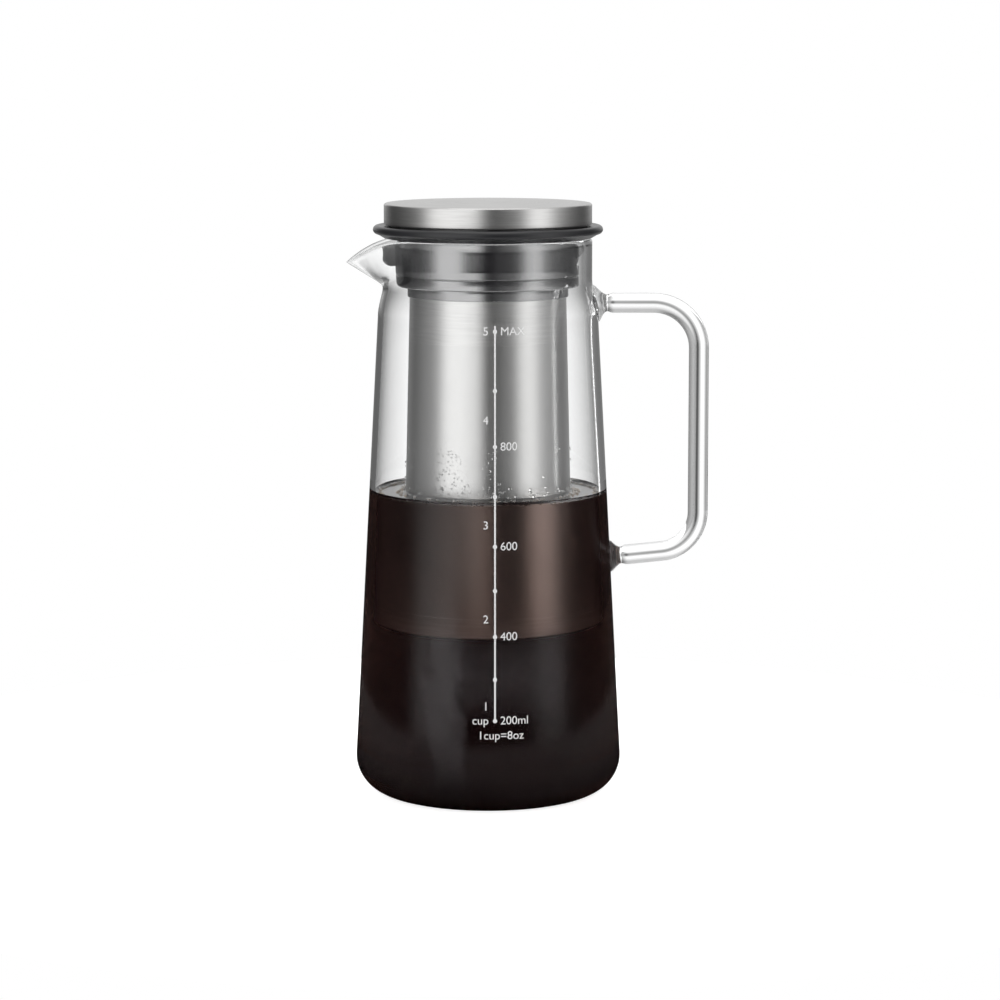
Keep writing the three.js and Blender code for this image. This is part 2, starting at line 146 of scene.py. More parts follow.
VENT_LENGTH = 5.4 * MM

# Brew: how far it wets into the wall, and its meniscus on the glass and on the filter
WET_OVERLAP = 0.15 * MM
MENISCUS = 1.3 * MM
FILTER_MENISCUS = 0.8 * MENISCUS
MENISCUS_FADE = 0.55
MENISCUS_STEPS = (0.0, 0.15, 0.35, 0.6, 1.0, 1.6, 2.4)
SPRAY_FROM = math.radians(-136)
SPRAY_TO = math.radians(-82)

# How strongly the clear things bend light, and how closely the waves on blown glass follow each other
GLASS_IOR = 1.47
BREW_IOR = 1.333
BREW_HAZE = (0.14, 0.062, 0.064)
WALL_WAVES = 26.0
ROD_WAVES = 40.0
DROP_WAVES = 200.0

# Mirror image on the dark glass, and a painted highlight on it: a narrow streak and a wide veil
MIRROR_SHARE = 0.45
MIRROR_MOST = 0.02
# The mirror image weakens towards the foot, as painted shade there
MIRROR_RISE = (0.0, 45 * MM, 0.2, 1.0)
PAINTED_HIGHLIGHT_COLOUR = (0.5, 0.47, 0.49)
PAINTED_HIGHLIGHT_FOOT = (10 * MM, 25 * MM)
PAINTED_HIGHLIGHT_FRONT = (-20 * MM, -5 * MM, 1.0, 0.0)
HIGHLIGHT_STREAK_MIDDLE = -16 * MM
HIGHLIGHT_STREAK_EDGE = (5 * MM, 8 * MM, 0.045, 0.0)
HIGHLIGHT_STREAK_RISE = (60 * MM, 80 * MM, 1.0, 0.35)
HIGHLIGHT_STREAK_WANDER = (-5 * MM, 5 * MM)
HIGHLIGHT_VEIL_MIDDLE = 5 * MM
HIGHLIGHT_VEIL_EDGE = (14 * MM, 26 * MM, 0.04, 0.0)
HIGHLIGHT_VEIL_FOOT = (34 * MM, 50 * MM)
HIGHLIGHT_VEIL_TOP = (56 * MM, 70 * MM, 1.0, 0.0)

# Range that a noise mostly fills, and a narrower one for more contrast
NOISE_RANGE = (0.3, 0.7)
NOISE_CORE = (0.35, 0.65)
HOLE_SHADE = (0.12, 0.12, 0.12)
HOLE_EDGE = (0.16, 0.30, 1.0, 0.0)

# Camera that took the reference view
CAMERA_OFFSET = 4.5 * MM
CAMERA_DISTANCE = 1.3
CAMERA_HEIGHT = 0.292
CAMERA_DIP = math.radians(7.91)
CAMERA_FOCAL_PX = 3474
IMAGE_PX = 1000
SENSOR_MM = 36

# Room round the object: brightness by the turn from the camera, in degrees, to the right
ROOM_PEAK = 1.65
ROOM_LEVELS = (
    (-180, 0.5), (-160, 0.5), (-148, 0.2), (-134, 0.05), (-116, 0.08), (-101, 0.12), (-88, 0.18), (-77, 0.35),
    (-67, 0.7), (-57, 0.98), (-20, 1.0), (-13, 0.86), (-8, 0.52), (-2, 0.14), (5, 0.06), (14, 0.11), (24, 0.18),
    (33, 0.24), (40, 0.42), (47, 0.78), (54, 0.96), (65, 0.97), (73, 0.78), (80, 0.54), (90, 0.34), (105, 0.18),
    (126, 0.08), (142, 0.12), (152, 0.35), (162, 0.5), (180, 0.5),
)
# The same in a strip lower down, where the softboxes are narrower
LOW_ROOM_DIP = 0.1
LOW_ROOM_EDGE = (0.034, 0.052)
LOW_ROOM_LEVELS = (
    (-180, 0.3), (-160, 0.2), (-140, 0.05), (-120, 0.02), (-97, 0.03), (-86, 0.02), (-78, 0.08), (-70, 0.42),
    (-62, 0.95), (-42, 0.98), (-34, 0.74), (-27, 0.22), (-20, 0.03), (-12, 0.0), (2, 0.01), (12, 0.05),
    (22, 0.05), (30, 0.07), (38, 0.17), (45, 0.46), (52, 0.82), (61, 0.9), (69, 0.66), (77, 0.22),
    (86, 0.07), (100, 0.03), (129, 0.02), (145, 0.1), (160, 0.3), (180, 0.3),
)
# Room as the filter mirrors it through the brew
BREW_ROOM_PEAK = 4.2
BREW_ROOM_LEVELS = (
    (-180, 0.1), (-133, 0.02), (-92, 0.01), (-73, 0.03), (-57, 0.11), (-41, 0.14), (-25, 0.26), (-10, 0.42),
    (0, 0.4), (6, 0.18), (12, 0.02), (22, 0.0), (35, 0.01), (43, 0.05), (51, 0.27), (60, 0.8), (68, 1.0),
    (77, 1.0), (86, 0.85), (95, 0.48), (105, 0.16), (120, 0.03), (180, 0.1),
)
# Backdrop as light bent through glass sees it, by its turn from straight through, to the right
BENT_PEAK = 1.15
BENT_LEVELS = (
    (-180, 0.4), (-100, 0.2), (-70, 0.35), (-40, 0.75), (-24, 0.8), (-18, 0.5), (-14, 0.55), (-9, 0.76),
    (-5, 0.9), (-2.5, 1.0), (0, 1.0), (3, 0.92), (6, 0.78), (9, 0.58), (10.5, 0.48), (12.5, 0.37), (17, 0.4),
    (21, 0.38), (26, 0.36), (31, 0.36), (35, 0.8), (40, 0.95), (55, 0.75), (80, 0.35), (100, 0.25), (180, 0.4),
)
# The same for the solid rod, which bends light only twice
ROD_LEVELS = (
    (-180, 0.4), (-90, 0.5), (-53, 0.52), (-38, 0.3), (-30, 0.36), (-24, 0.65), (-18, 0.92), (-6, 1.0),
    (6, 0.9), (14, 0.7), (20, 0.4), (30, 0.42), (40, 0.32), (60, 0.28), (100, 0.4), (180, 0.4),
)
ROD_DARK_TURN = math.radians(8)
ROD_DARK_SPREAD = (math.radians(2), math.radians(15), 0.9, 0.0)
ROD_DARK_RISE = -0.12
ROD_DARK_HEIGHT = (0.04, 0.15, 1.0, 0.0)
ROD_TOP_FADE = (0.12, 0.4, 1.0, 0.5)
BACKDROP_FOOT = (0.03, 0.09, 0.5, 1.0)
BACK_EDGE = (0.75, 0.9)
BACK_LOW_EDGE = (-0.04, 0.0, 1.0, 0.0)
BACK_LOW_LEVEL = 0.5
CEILING_EDGE = (0.4, 0.8)
# Transmission depth past which light has come through more than the rod's two faces
PAST_TWO_FACES = 2.5
CEILING_LEVEL = 1.0
CEILING_HEIGHT = 1.3
CEILING_SIZE = 0.9
TABLE_RADIUS = 0.28
TABLE_LEVEL = -0.0003
FLOOR_GLOW = 0.75
# Painted shadow: near the object the floor's glow, as light through glass sees it, drops to this share
FLOOR_SHADE = 0.12
FLOOR_SHADE_REACH = (0.08, 0.26)

# Printed scale: marks by height above the table, in millimetres, with their labels
SCALE_X = 2.67 * MM
SCALE_TOP = 180.9
SCALE_MARKS = (178.8, 157.3, 136.9, 118.7, 100.4, 84.2, 67.3, 51.5, 36.3)
SCALE_RIGHT = ((178.8, "MAX"), (136.9, "800"), (100.4, "600"), (67.3, "400"), (36.3, "200ml"))
SCALE_LEFT = ((178.8, "5"), (146.4, "4"), (108.1, "3"), (73.6, "2"), (41.5, "1"), (36.3, "cup"))
SCALE_NOTE = (30.8, "1cup=8oz")
CAPITAL_SHARE = 0.7
RIGHT_GAP = 1.9 * MM
LEFT_GAP = 2.3 * MM
NOTE_SHIFT = 2.2 * MM
INK_MIDDLE = 0.04 * MM
INK_HALF = 0.02 * MM


class CoffeeMakerGlass(bpy.types.PropertyGroup):
    tint: bpy.props.FloatVectorProperty(
        name="Glass tint", description="Light that a wall of glass lets through",
        subtype="COLOR", size=3, default=(0.997, 0.998, 0.998))
    columns: bpy.props.IntProperty(
        name="Columns", description="Columns of faces round the jug", default=256, min=64)
    waviness: bpy.props.FloatProperty(
        name="Waviness", description="Depth of the soft waves that blowing leaves in the wall",
        subtype="DISTANCE", unit="LENGTH", default=0.05 * MM)


class CoffeeMakerBrew(bpy.types.PropertyGroup):
    fill_height: bpy.props.FloatProperty(
        name="Fill height", description="Surface of the brew above the table",
        subtype="DISTANCE", unit="LENGTH", default=BREW_HIGH.z)
    colour: bpy.props.FloatVectorProperty(
        name="Brew colour", description="Light that a thin layer of the brew lets through",
        subtype="COLOR", size=3, default=(0.30, 0.19, 0.145))
    density: bpy.props.FloatProperty(
        name="Brew strength", description="How fast the brew swallows light, per metre", default=115.0)
    bubbles: bpy.props.IntProperty(
        name="Bubbles", description="Bubbles along each wall, on the surface of the brew", default=190, min=0)
    splashes: bpy.props.IntProperty(
        name="Splashes", description="Drops that cling above the brew", default=150, min=0)


class CoffeeMakerSteel(bpy.types.PropertyGroup):
    colour: bpy.props.FloatVectorProperty(
        name="Steel colour", description="Colour of the steel", subtype="COLOR", size=3,
        default=(0.53, 0.527, 0.52))
    hole_pitch: bpy.props.FloatProperty(
        name="Hole pitch", description="Distance between the filter's fine holes",
        subtype="DISTANCE", unit="LENGTH", default=0.34 * MM)


class CoffeeMakerScale(bpy.types.PropertyGroup):
    ink: bpy.props.FloatVectorProperty(
        name="Ink colour", description="Colour of the printed scale", subtype="COLOR", size=3,
        default=(0.86, 0.86, 0.86))
    letter_height: bpy.props.FloatProperty(
        name="Letter height", description="Height of the printed figures",
        subtype="DISTANCE", unit="LENGTH", default=3.0 * MM)


def settings():
    return bpy.context.scene


# Shader helpers
class Amount:
    """Number that a node works out, so that sums with it are written as sums."""

    def __init__(self, tree, socket):
        self.tree = tree
        self.socket = socket

    def work(self, operation, other=None):
        """Math node on this number and perhaps another."""
        node = self.tree.nodes.new("ShaderNodeMath")
        node.operation = operation
        put(self.tree, self, node.inputs[0])
        if other is not None:
            put(self.tree, other, node.inputs[1])
        return Amount(self.tree, node.outputs[0])

    def __add__(self, other):
        return self.work("ADD", other)

    def __sub__(self, other):
        return self.work("SUBTRACT", other)

    def __rsub__(self, other):
        return self * -1.0 + other

    def __mul__(self, other):
        return self.work("MULTIPLY", other)

    def __mod__(self, other):
        return self.work("MODULO", other)

    def __abs__(self):
        return self.work("ABSOLUTE")

    def clamped(self):
        """The same, kept between 0 and 1."""
        self.socket.node.use_clamp = True
        return self

    def mapped(self, low, high, to_low=0.0, to_high=1.0):
        """Stretches the range from low to high over another one, and stops at its ends."""
        node = add_node(self.tree, "ShaderNodeMapRange", Value=self, From_Min=low, From_Max=high,
                        To_Min=to_low, To_Max=to_high)
        return Amount(self.tree, node.outputs["Result"])

    def between(self, first, second):
        """First where this number is 0, second where it is 1."""
        node = add_node(self.tree, "ShaderNodeMix", Factor=self, A=first, B=second)
        return Amount(self.tree, node.outputs["Result"])


def put(tree, value, socket):
    """Joins a node's output to this input, or sets a plain value there."""
    if isinstance(value, Amount):
        value = value.socket
    if isinstance(value, bpy.types.NodeSocket):
        tree.links.new(value, socket)
    else:
        socket.default_value = value


def add_node(tree, kind, **inputs):
    node = tree.nodes.new(kind)
    for key, value in inputs.items():
        put(tree, value, node.inputs[key.replace("_", " ")])
    return node


def output(tree, kind, **inputs):
    return add_node(tree, kind, **inputs).outputs[0]


def empty_tree(owner, kind):
    owner.use_nodes = True
    tree = owner.node_tree
    tree.nodes.clear()
    tree.nodes.new(kind).name = "Output"
    return tree


def new_material(name):
    material = bpy.data.materials.new(name)
    return material, empty_tree(material, "ShaderNodeOutputMaterial")


def surface(tree, shader):
    put(tree, shader, tree.nodes["Output"].inputs["Surface"])


def light_path(tree, name):
    return Amount(tree, tree.nodes.new("ShaderNodeLightPath").outputs[name])


def position(tree, kind="Object"):
    return tree.nodes.new("ShaderNodeTexCoord").outputs[kind]


def three_ways(tree, place):
    """A position's three numbers: across, deep and high."""
    return [Amount(tree, socket) for socket in add_node(tree, "ShaderNodeSeparateXYZ", Vector=place).outputs]


def diagonal(first, second):
    return (first * first + second * second).work("SQRT")


def mixed(tree, share, first, second):
    """First shader where the share is 0, second where it is 1."""
    node = tree.nodes.new("ShaderNodeMixShader")
    for socket, value in zip(node.inputs, (share, first, second)):
        put(tree, value, socket)
    return node.outputs[0]


def colour_blend(tree, share, first, second):
    node = tree.nodes.new("ShaderNodeMix")
    node.data_type = "RGBA"
    for key, value in (("Factor", share), ("A", (*first, 1)), ("B", (*second, 1))):
        put(tree, value, node.inputs[key])
    return node.outputs["Result"]


def clouded(tree, cloud, colour, first, second):
    """Colour that drifts between a first and a second share of itself."""
    return colour_blend(tree, cloud, *(tuple(share * c for c in colour) for share in (first, second)))


def noise(tree, scale, detail=3.0, roughness=0.5, place=None):
    return Amount(tree, add_node(
        tree, "ShaderNodeTexNoise", Vector=place or position(tree), Scale=scale, Detail=detail,
        Roughness=roughness).outputs["Fac"])


# Finishes
def glass_tint():
    return (*settings().maker_glass.tint, 1)


def see_through(tree, shader, after_bounce):
    """Lets shadow rays pass straight, and for a thin wall also light on its way from what stands inside."""
    straight = light_path(tree, "Is Shadow Ray")
    if after_bounce:
        bounces = light_path(tree, "Glossy Depth") + light_path(tree, "Diffuse Depth")
        straight = (straight + bounces).clamped()
    clear = output(tree, "ShaderNodeBsdfTransparent", Color=glass_tint())
    surface(tree, mixed(tree, straight, shader, clear))


def blown_waves(tree, scale):
    return output(tree, "ShaderNodeBump", Height=noise(tree, scale, 2.0), Strength=1.0,
                  Distance=settings().maker_glass.waviness)


def solid_glass(name, scale, after_bounce=False, bend=GLASS_IOR):
    """Clear glass or water, which bends and mirrors."""
    material, tree = new_material(name)
    glass = output(tree, "ShaderNodeBsdfGlass", Color=glass_tint(), Roughness=0.0, IOR=bend,
                   Normal=blown_waves(tree, scale))
    see_through(tree, glass, after_bounce)
    return material


def fused_face():
    """End of the rod, where it is one glass with the wall and light goes straight on."""
    material, tree = new_material("fused_face")
    cloud = noise(tree, 90.0).mapped(*NOISE_RANGE)
    colour = clouded(tree, cloud, settings().maker_glass.tint, 1.0, 0.98)
    surface(tree, output(tree, "ShaderNodeBsdfTransparent", Color=colour))
    return material


def dark_glass():
    """Outside of the wall in front of the brew, with a faint mirror image and a painted highlight in a streak
    and a veil.
    """
    material, tree = new_material("dark_glass")
    waves = blown_waves(tree, WALL_WAVES)
    bend = output(tree, "ShaderNodeBsdfRefraction", Color=glass_tint(), Roughness=0.0, IOR=GLASS_IOR,
                  Normal=waves)
    gloss = output(tree, "ShaderNodeBsdfGlossy", Color=(1, 1, 1, 1), Roughness=0.08, Normal=waves)
    fresnel = Amount(tree, output(tree, "ShaderNodeFresnel", IOR=GLASS_IOR, Normal=waves))
    # Lit grey diffuse laid on in a streak and a veil across the front: a painted highlight
    painted_highlight = output(tree, "ShaderNodeBsdfDiffuse", Color=(*PAINTED_HIGHLIGHT_COLOUR, 1))
    across, deep, high = three_ways(tree, position(tree))
    # The mirror image's share weakens towards the foot: painted shade
    share = (fresnel * MIRROR_SHARE).work("MINIMUM", MIRROR_MOST) * high.mapped(*MIRROR_RISE)
    wander = noise(tree, 70.0, 4.0, 0.65).mapped(*NOISE_RANGE, *HIGHLIGHT_STREAK_WANDER)
    streak = abs(across + wander - HIGHLIGHT_STREAK_MIDDLE).mapped(*HIGHLIGHT_STREAK_EDGE) * high.mapped(*HIGHLIGHT_STREAK_RISE)
    highlight_veil = abs(across - HIGHLIGHT_VEIL_MIDDLE).mapped(*HIGHLIGHT_VEIL_EDGE) * (high.mapped(*HIGHLIGHT_VEIL_FOOT) * high.mapped(*HIGHLIGHT_VEIL_TOP))
    highlight_patches = noise(tree, 170.0, 5.0, 0.6).mapped(*NOISE_CORE, 0.6, 1.2)
    # Share of the painted highlight: the streak and the veil, in patches, low on the front
    highlight_share = (streak + highlight_veil) * highlight_patches * (high.mapped(*PAINTED_HIGHLIGHT_FOOT) * deep.mapped(*PAINTED_HIGHLIGHT_FRONT))
    see_through(tree, mixed(tree, highlight_share, mixed(tree, share, bend, gloss), painted_highlight), True)
    return material


def wet_glass():
    """Inside of the wall where the brew wets it, so that it bends light and mirrors none."""
    material, tree = new_material("wet_glass")
    bend = output(tree, "ShaderNodeBsdfRefraction", Color=glass_tint(), Roughness=0.0, IOR=GLASS_IOR)
    see_through(tree, bend, True)
    return material


def brew_liquid(name, shader, roughness=0.0, cloud=0.0):
    """The brew: its free surface mirrors; its side wets the glass, bends light and is a little cloudy."""
    look = settings().maker_brew
    material, tree = new_material(name)
    liquid = output(tree, shader, Color=(1, 1, 1, 1), Roughness=roughness, IOR=BREW_IOR)
    drift = noise(tree, 45.0, 4.0).mapped(*NOISE_CORE)
    haze = output(tree, "ShaderNodeBsdfDiffuse", Color=clouded(tree, drift, BREW_HAZE, 0.8, 1.15))
    surface(tree, mixed(tree, cloud, liquid, haze))
    swallow = output(tree, "ShaderNodeVolumeAbsorption", Color=(*look.colour, 1), Density=look.density)
    put(tree, swallow, tree.nodes["Output"].inputs["Volume"])
    return material


def bubble_film(name, tint):
    """Wet skin of a bubble or a drop: clear in the middle, shining at its edge."""
    material, tree = new_material(name)
    cloud = noise(tree, 700.0, 2.0).mapped(*NOISE_RANGE)
    clear = output(tree, "ShaderNodeBsdfTransparent", Color=clouded(tree, cloud, tint, 1.0, 0.8))
    gloss = output(tree, "ShaderNodeBsdfGlossy", Color=(1, 1, 1, 1), Roughness=0.04)
    facing = Amount(tree, add_node(tree, "ShaderNodeLayerWeight", Blend=0.4).outputs["Facing"])
    surface(tree, mixed(tree, facing.mapped(0.1, 0.95, 0.05, 0.9), clear, gloss))
    return material


def turned_noise(tree, scale, length, detail=3.0, roughness=0.5):
    """Noise in rings round the axis, as turning marks lie; length sets how long they run."""
    across, deep, high = three_ways(tree, position(tree))
    rings = output(tree, "ShaderNodeCombineXYZ", X=(diagonal(across, deep) + high) * scale,
                   Y=across * (1 / length), Z=deep * (1 / length))
    return noise(tree, 1.0, detail, roughness, rings)


def bare_metal(tree, colour, roughness, anisotropy):
    """Steel whose grain runs round the axis."""
    tangent = tree.nodes.new("ShaderNodeTangent")
    tangent.direction_type = "RADIAL"
    tangent.axis = "Z"
    surface(tree, output(
        tree, "ShaderNodeBsdfPrincipled", Metallic=1.0, Base_Color=colour, Roughness=roughness,
        Anisotropic=anisotropy, Anisotropic_Rotation=0.25, Tangent=tangent.outputs[0]))


def steel(name, roughness, anisotropy):
    """Brushed steel, a little streaked and blotched."""
    material, tree = new_material(name)
    streak = turned_noise(tree, 1500.0, 13 * MM, 3.0, 0.6).mapped(*NOISE_CORE)
    blotch = turned_noise(tree, 500.0, 20 * MM).mapped(*NOISE_RANGE, roughness - 0.02, roughness + 0.03)
    bare_metal(tree, clouded(tree, streak, settings().maker_steel.colour, 0.93, 1.05), blotch, anisotropy)
    return material


def mesh_steel():
    """Perforated sheet: rows of fine dark holes, set round the tube."""
    look = settings().maker_steel
    material, tree = new_material("perforated_steel")
    x, y, z = three_ways(tree, position(tree))
    rows = round(2 * math.pi * TUBE_FOOT_RADIUS / look.hole_pitch)
    up = z * (1 / look.hole_pitch)
    across = y.work("ARCTAN2", x) * (rows / (2 * math.pi)) + up.work("FLOOR") % 2.0 * 0.5
    hole = diagonal(across.work("FRACT") - 0.5, up.work("FRACT") - 0.5).mapped(*HOLE_EDGE)
    blotch = turned_noise(tree, 260.0, 3.5 * MM, 4.0, 0.7).mapped(*NOISE_RANGE, 0.15, 0.5)
    bare_metal(tree, colour_blend(tree, hole * blotch, look.colour, HOLE_SHADE), 0.28, 0.6)
    return material


def black_moulding(name, roughness, shade, mirror):
    """Hard black finish; mirror is its refractive index, which sets how strongly it shines."""
    material, tree = new_material(name)
    rough = noise(tree, 45.0, 1.0).mapped(*NOISE_RANGE, roughness - 0.01, roughness + 0.015)
    surface(tree, output(tree, "ShaderNodeBsdfPrincipled", Base_Color=(*shade, 1), Roughness=rough, IOR=mirror))
    return material


def scale_ink():
    material, tree = new_material("scale_ink")
    wear = noise(tree, 1400.0, 2.0)
    colour = clouded(tree, wear.mapped(*NOISE_RANGE), settings().maker_scale.ink, 1.0, 0.82)
    surface(tree, output(tree, "ShaderNodeBsdfPrincipled", Base_Color=colour, IOR=1.45,
                         Roughness=wear.mapped(*NOISE_RANGE, 0.45, 0.6)))
    return material


# Mesh helpers
def linked_object(name, data):
    thing = bpy.data.objects.new(name, data)
    bpy.context.scene.collection.objects.link(thing)
    return thing


def mesh_object(name, build, crease=40):
    """Builds a smooth mesh whose edges stay sharp where its faces turn by more than crease, in degrees."""
    mesh = bpy.data.meshes.new(name)
    shape = bmesh.new()
    build(shape)
    bmesh.ops.remove_doubles(shape, verts=shape.verts, dist=1e-6)
    bmesh.ops.dissolve_degenerate(shape, edges=shape.edges, dist=1e-7)
    bmesh.ops.recalc_face_normals(shape, faces=shape.faces)
    shape.to_mesh(mesh)
    shape.free()
    mesh.shade_smooth()
    mesh.set_sharp_from_angle(angle=math.radians(crease))
    return linked_object(name, mesh)


def spin_outline(shape, outline, columns, place=None, first=0.0, last=2 * math.pi):
    """Turns an outline of (radius, height) round the axis from the spout's side; place moves each point."""
    whole = last - first > 2 * math.pi - 1e-6
    rings = []
    for column in range(columns + (0 if whole else 1)):
        angle = first + (last - first) * column / columns
        ring = []
        for radius, height in outline:
            point = Vector((-radius * math.cos(angle), radius * math.sin(angle), height))
            ring.append(shape.verts.new(place(point) if place else point))
        rings.append(ring)
    for column in range(columns):
        here, there = rings[column], rings[(column + 1) % len(rings)]
        for row in range(len(outline) - 1):
            shape.faces.new((here[row], there[row], there[row + 1], here[row + 1]))
    if not whole:
        shape.faces.new(rings[0][:-1])
        shape.faces.new(list(reversed(rings[-1][:-1])))

def turned_piece(name, outline, columns, place=None):
    return mesh_object(name, lambda shape: spin_outline(shape, outline, columns, place))


# Directions in an outline, for its arcs
OUT, UP, IN, DOWN = 0, math.pi / 2, math.pi, -math.pi / 2


def arc(centre, radius, start, end, steps):
    return [
        (centre[0] + radius * math.cos(start + (end - start) * i / steps),
         centre[1] + radius * math.sin(start + (end - start) * i / steps))
        for i in range(steps + 1)]


def bezier(first, second, third, fourth, steps):
    points = []
    for i in range(steps + 1):
        t = i / steps
        weights = ((1 - t) ** 3, 3 * t * (1 - t) ** 2, 3 * t * t * (1 - t), t ** 3)
        points.append(tuple(
            sum(w * p[axis] for w, p in zip(weights, (first, second, third, fourth))) for axis in (0, 1)))
    return points


def straight(first, last, steps):
    """Points along a straight line, with both ends."""
    return [tuple(a + (b - a) * i / steps for a, b in zip(first, last)) for i in range(steps + 1)]


def cone_radius(height):
    return CONE_TOP_RADIUS + (SHOULDER_FOOT - height) * math.tan(WALL_LEAN)


def tube_radius(height):
    """Filter's outside: a long cone, which draws in faster inside the holder."""
    if height < TUBE_WAIST:
        return TUBE_WAIST_RADIUS + (TUBE_WAIST - height) * TUBE_SLOPE
    share = (height - TUBE_WAIST) / (TUBE_TOP - TUBE_WAIST)
    return TUBE_WAIST_RADIUS + (TUBE_TOP_RADIUS - TUBE_WAIST_RADIUS) * share


def spout_share(point):
    """How far the spout draws out this side of the neck: 1 at its tip, 0 from its flanks on."""
    side = abs(math.atan2(point.y, -point.x))
    rounded = math.hypot(side, SPOUT_TIP_ROUND) - SPOUT_TIP_ROUND
    return max(0.0, 1 - rounded / SPOUT_HALF_ANGLE) ** SPOUT_FLANK_POWER


def pull_spout(point):
    """Draws a point of the neck out into the spout, as the solid model does."""
    share = spout_share(point)
    rise = max(0.0, point.z - (RIM_HEIGHT - SPOUT_DEPTH))
    soft = rise * rise / (2 * SPOUT_SOFTNESS) if rise < SPOUT_SOFTNESS else rise - SPOUT_SOFTNESS / 2
    pull = soft / (SPOUT_DEPTH - SPOUT_SOFTNESS / 2)
    radius = math.hypot(point.x, point.y)
    scale = (radius + SPOUT_REACH * share * pull) / radius if radius > 0 else 1
    return Vector((point.x * scale, point.y * scale, point.z - SPOUT_DROP * share ** SPOUT_DROP_POWER * pull))


def crowd_columns(point):
    """Crowds the jug's columns round the spout and pulls them into it."""
    if math.hypot(point.x, point.y) < 1e-9:
        return point
    turn = math.atan2(point.y, -point.x)
    crowded = math.copysign(math.pi * (abs(turn) / math.pi) ** SPOUT_COLUMN_POWER, turn)
    radius = math.hypot(point.x, point.y)
    return pull_spout(Vector((-radius * math.cos(crowded), radius * math.sin(crowded), point.z)))


def wall_radius(height):
    """Outside of the jug at this height, below its neck."""
    if height < SHOULDER_FOOT:
        return cone_radius(height)
    share = min(1.0, (height - SHOULDER_FOOT) / SHOULDER_LENGTH)
    return CONE_TOP_RADIUS + (NECK_RADIUS - CONE_TOP_RADIUS) * share * share * (3 - 2 * share)


def jug_outline():
    lean = WALL_LEAN
    bead = GLASS_WALL / 2
    inner_corner = FOOT_CORNER - GLASS_WALL
    third = SHOULDER_LENGTH / 3
    cone_bore = CONE_TOP_RADIUS - GLASS_WALL
    outside = [(0, 0), (FOOT_RADIUS * 0.5, 0)]
    outside += arc((FOOT_RADIUS, FOOT_CORNER), FOOT_CORNER, DOWN, lean, 14)
    outside += [(cone_radius(z * MM), z * MM) for z in range(30, 180, 15)]
    outside += bezier(
        (CONE_TOP_RADIUS, SHOULDER_FOOT), (CONE_TOP_RADIUS, SHOULDER_FOOT + third),
        (NECK_RADIUS, NECK_FOOT - third), (NECK_RADIUS, NECK_FOOT), 10)
    rows = 9
    steps = [NECK_FOOT + (RIM_HEIGHT - bead - NECK_FOOT) * i / rows for i in range(1, rows)]
    outside += [(NECK_RADIUS, z) for z in steps]
    bead_points = arc((NECK_RADIUS - bead, RIM_HEIGHT - bead), bead, OUT, IN, 8)
    inside = [(NECK_BORE, z) for z in reversed(steps)]
    inside += bezier(
        (NECK_BORE, NECK_FOOT), (NECK_BORE, NECK_FOOT - third),
        (cone_bore, SHOULDER_FOOT + third), (cone_bore, SHOULDER_FOOT), 10)
    inside += [(cone_radius(z * MM) - GLASS_WALL, z * MM) for z in (165, 150, 135, 120)]
    brew_top = settings().maker_brew.fill_height
    inside.append((cone_radius(brew_top) - GLASS_WALL, brew_top))
    inside += [(cone_radius(z * MM) - GLASS_WALL, z * MM) for z in range(105, 15, -15)]
    inside += arc((FOOT_RADIUS, FLOOR_THICKNESS + inner_corner), inner_corner, lean, DOWN, 12)
    inside += [(FOOT_RADIUS * 0.5, FLOOR_THICKNESS), (0, FLOOR_THICKNESS)]
    return outside + bead_points + inside


def scatter_group():
    """Geometry nodes that strew small round beads in a ring round the axis."""
    name = "Scattered beads"
    if name in bpy.data.node_groups:
        return bpy.data.node_groups[name]
    group = bpy.data.node_groups.new(name, "GeometryNodeTree")
    floats = ("From", "To", "Inner", "Outer", "Low", "High", "Lean", "Smallest", "Largest")
    for side, kind, labels in (
            ("INPUT", "NodeSocketGeometry", ("Geometry",)), ("INPUT", "NodeSocketInt", ("Count", "Seed")),
            ("INPUT", "NodeSocketFloat", floats), ("INPUT", "NodeSocketMaterial", ("Finish",)),
            ("OUTPUT", "NodeSocketGeometry", ("Geometry",))):
        for label in labels:
            group.interface.new_socket(label, in_out=side, socket_type=kind)
    given = group.nodes.new("NodeGroupInput").outputs

    def drawn(low, high, turn):
        """Random value between two of the named inputs."""
        node = group.nodes.new("FunctionNodeRandomValue")
        node.data_type = "FLOAT"
        limits = [socket for socket in node.inputs if socket.type == "VALUE"]
        for socket, key in zip(limits, (low, high)):
            put(group, given[key], socket)
        put(group, Amount(group, given["Seed"]) + float(turn), node.inputs["Seed"])
        return Amount(group, [socket for socket in node.outputs if socket.type == "VALUE"][0])

    angle = drawn("From", "To", 0)
    height = drawn("Low", "High", 100)
    radius = drawn("Inner", "Outer", 200) - (height - given["Low"]) * given["Lean"]
    size = drawn("Smallest", "Largest", 300)
    place = output(group, "ShaderNodeCombineXYZ", X=radius * angle.work("COSINE"),
                   Y=radius * angle.work("SINE"), Z=height)
    points = output(group, "GeometryNodePoints", Count=given["Count"], Position=place)
    bead = output(group, "GeometryNodeMeshIcoSphere", Subdivisions=2)
    smooth = output(group, "GeometryNodeSetShadeSmooth", Geometry=bead)
    strewn = output(group, "GeometryNodeInstanceOnPoints", Points=points, Instance=smooth, Scale=size)
    real = output(group, "GeometryNodeRealizeInstances", Geometry=strewn)
    finished = output(group, "GeometryNodeSetMaterial", Geometry=real, Material=given["Finish"])
    put(group, finished, group.nodes.new("NodeGroupOutput").inputs[0])
    return group


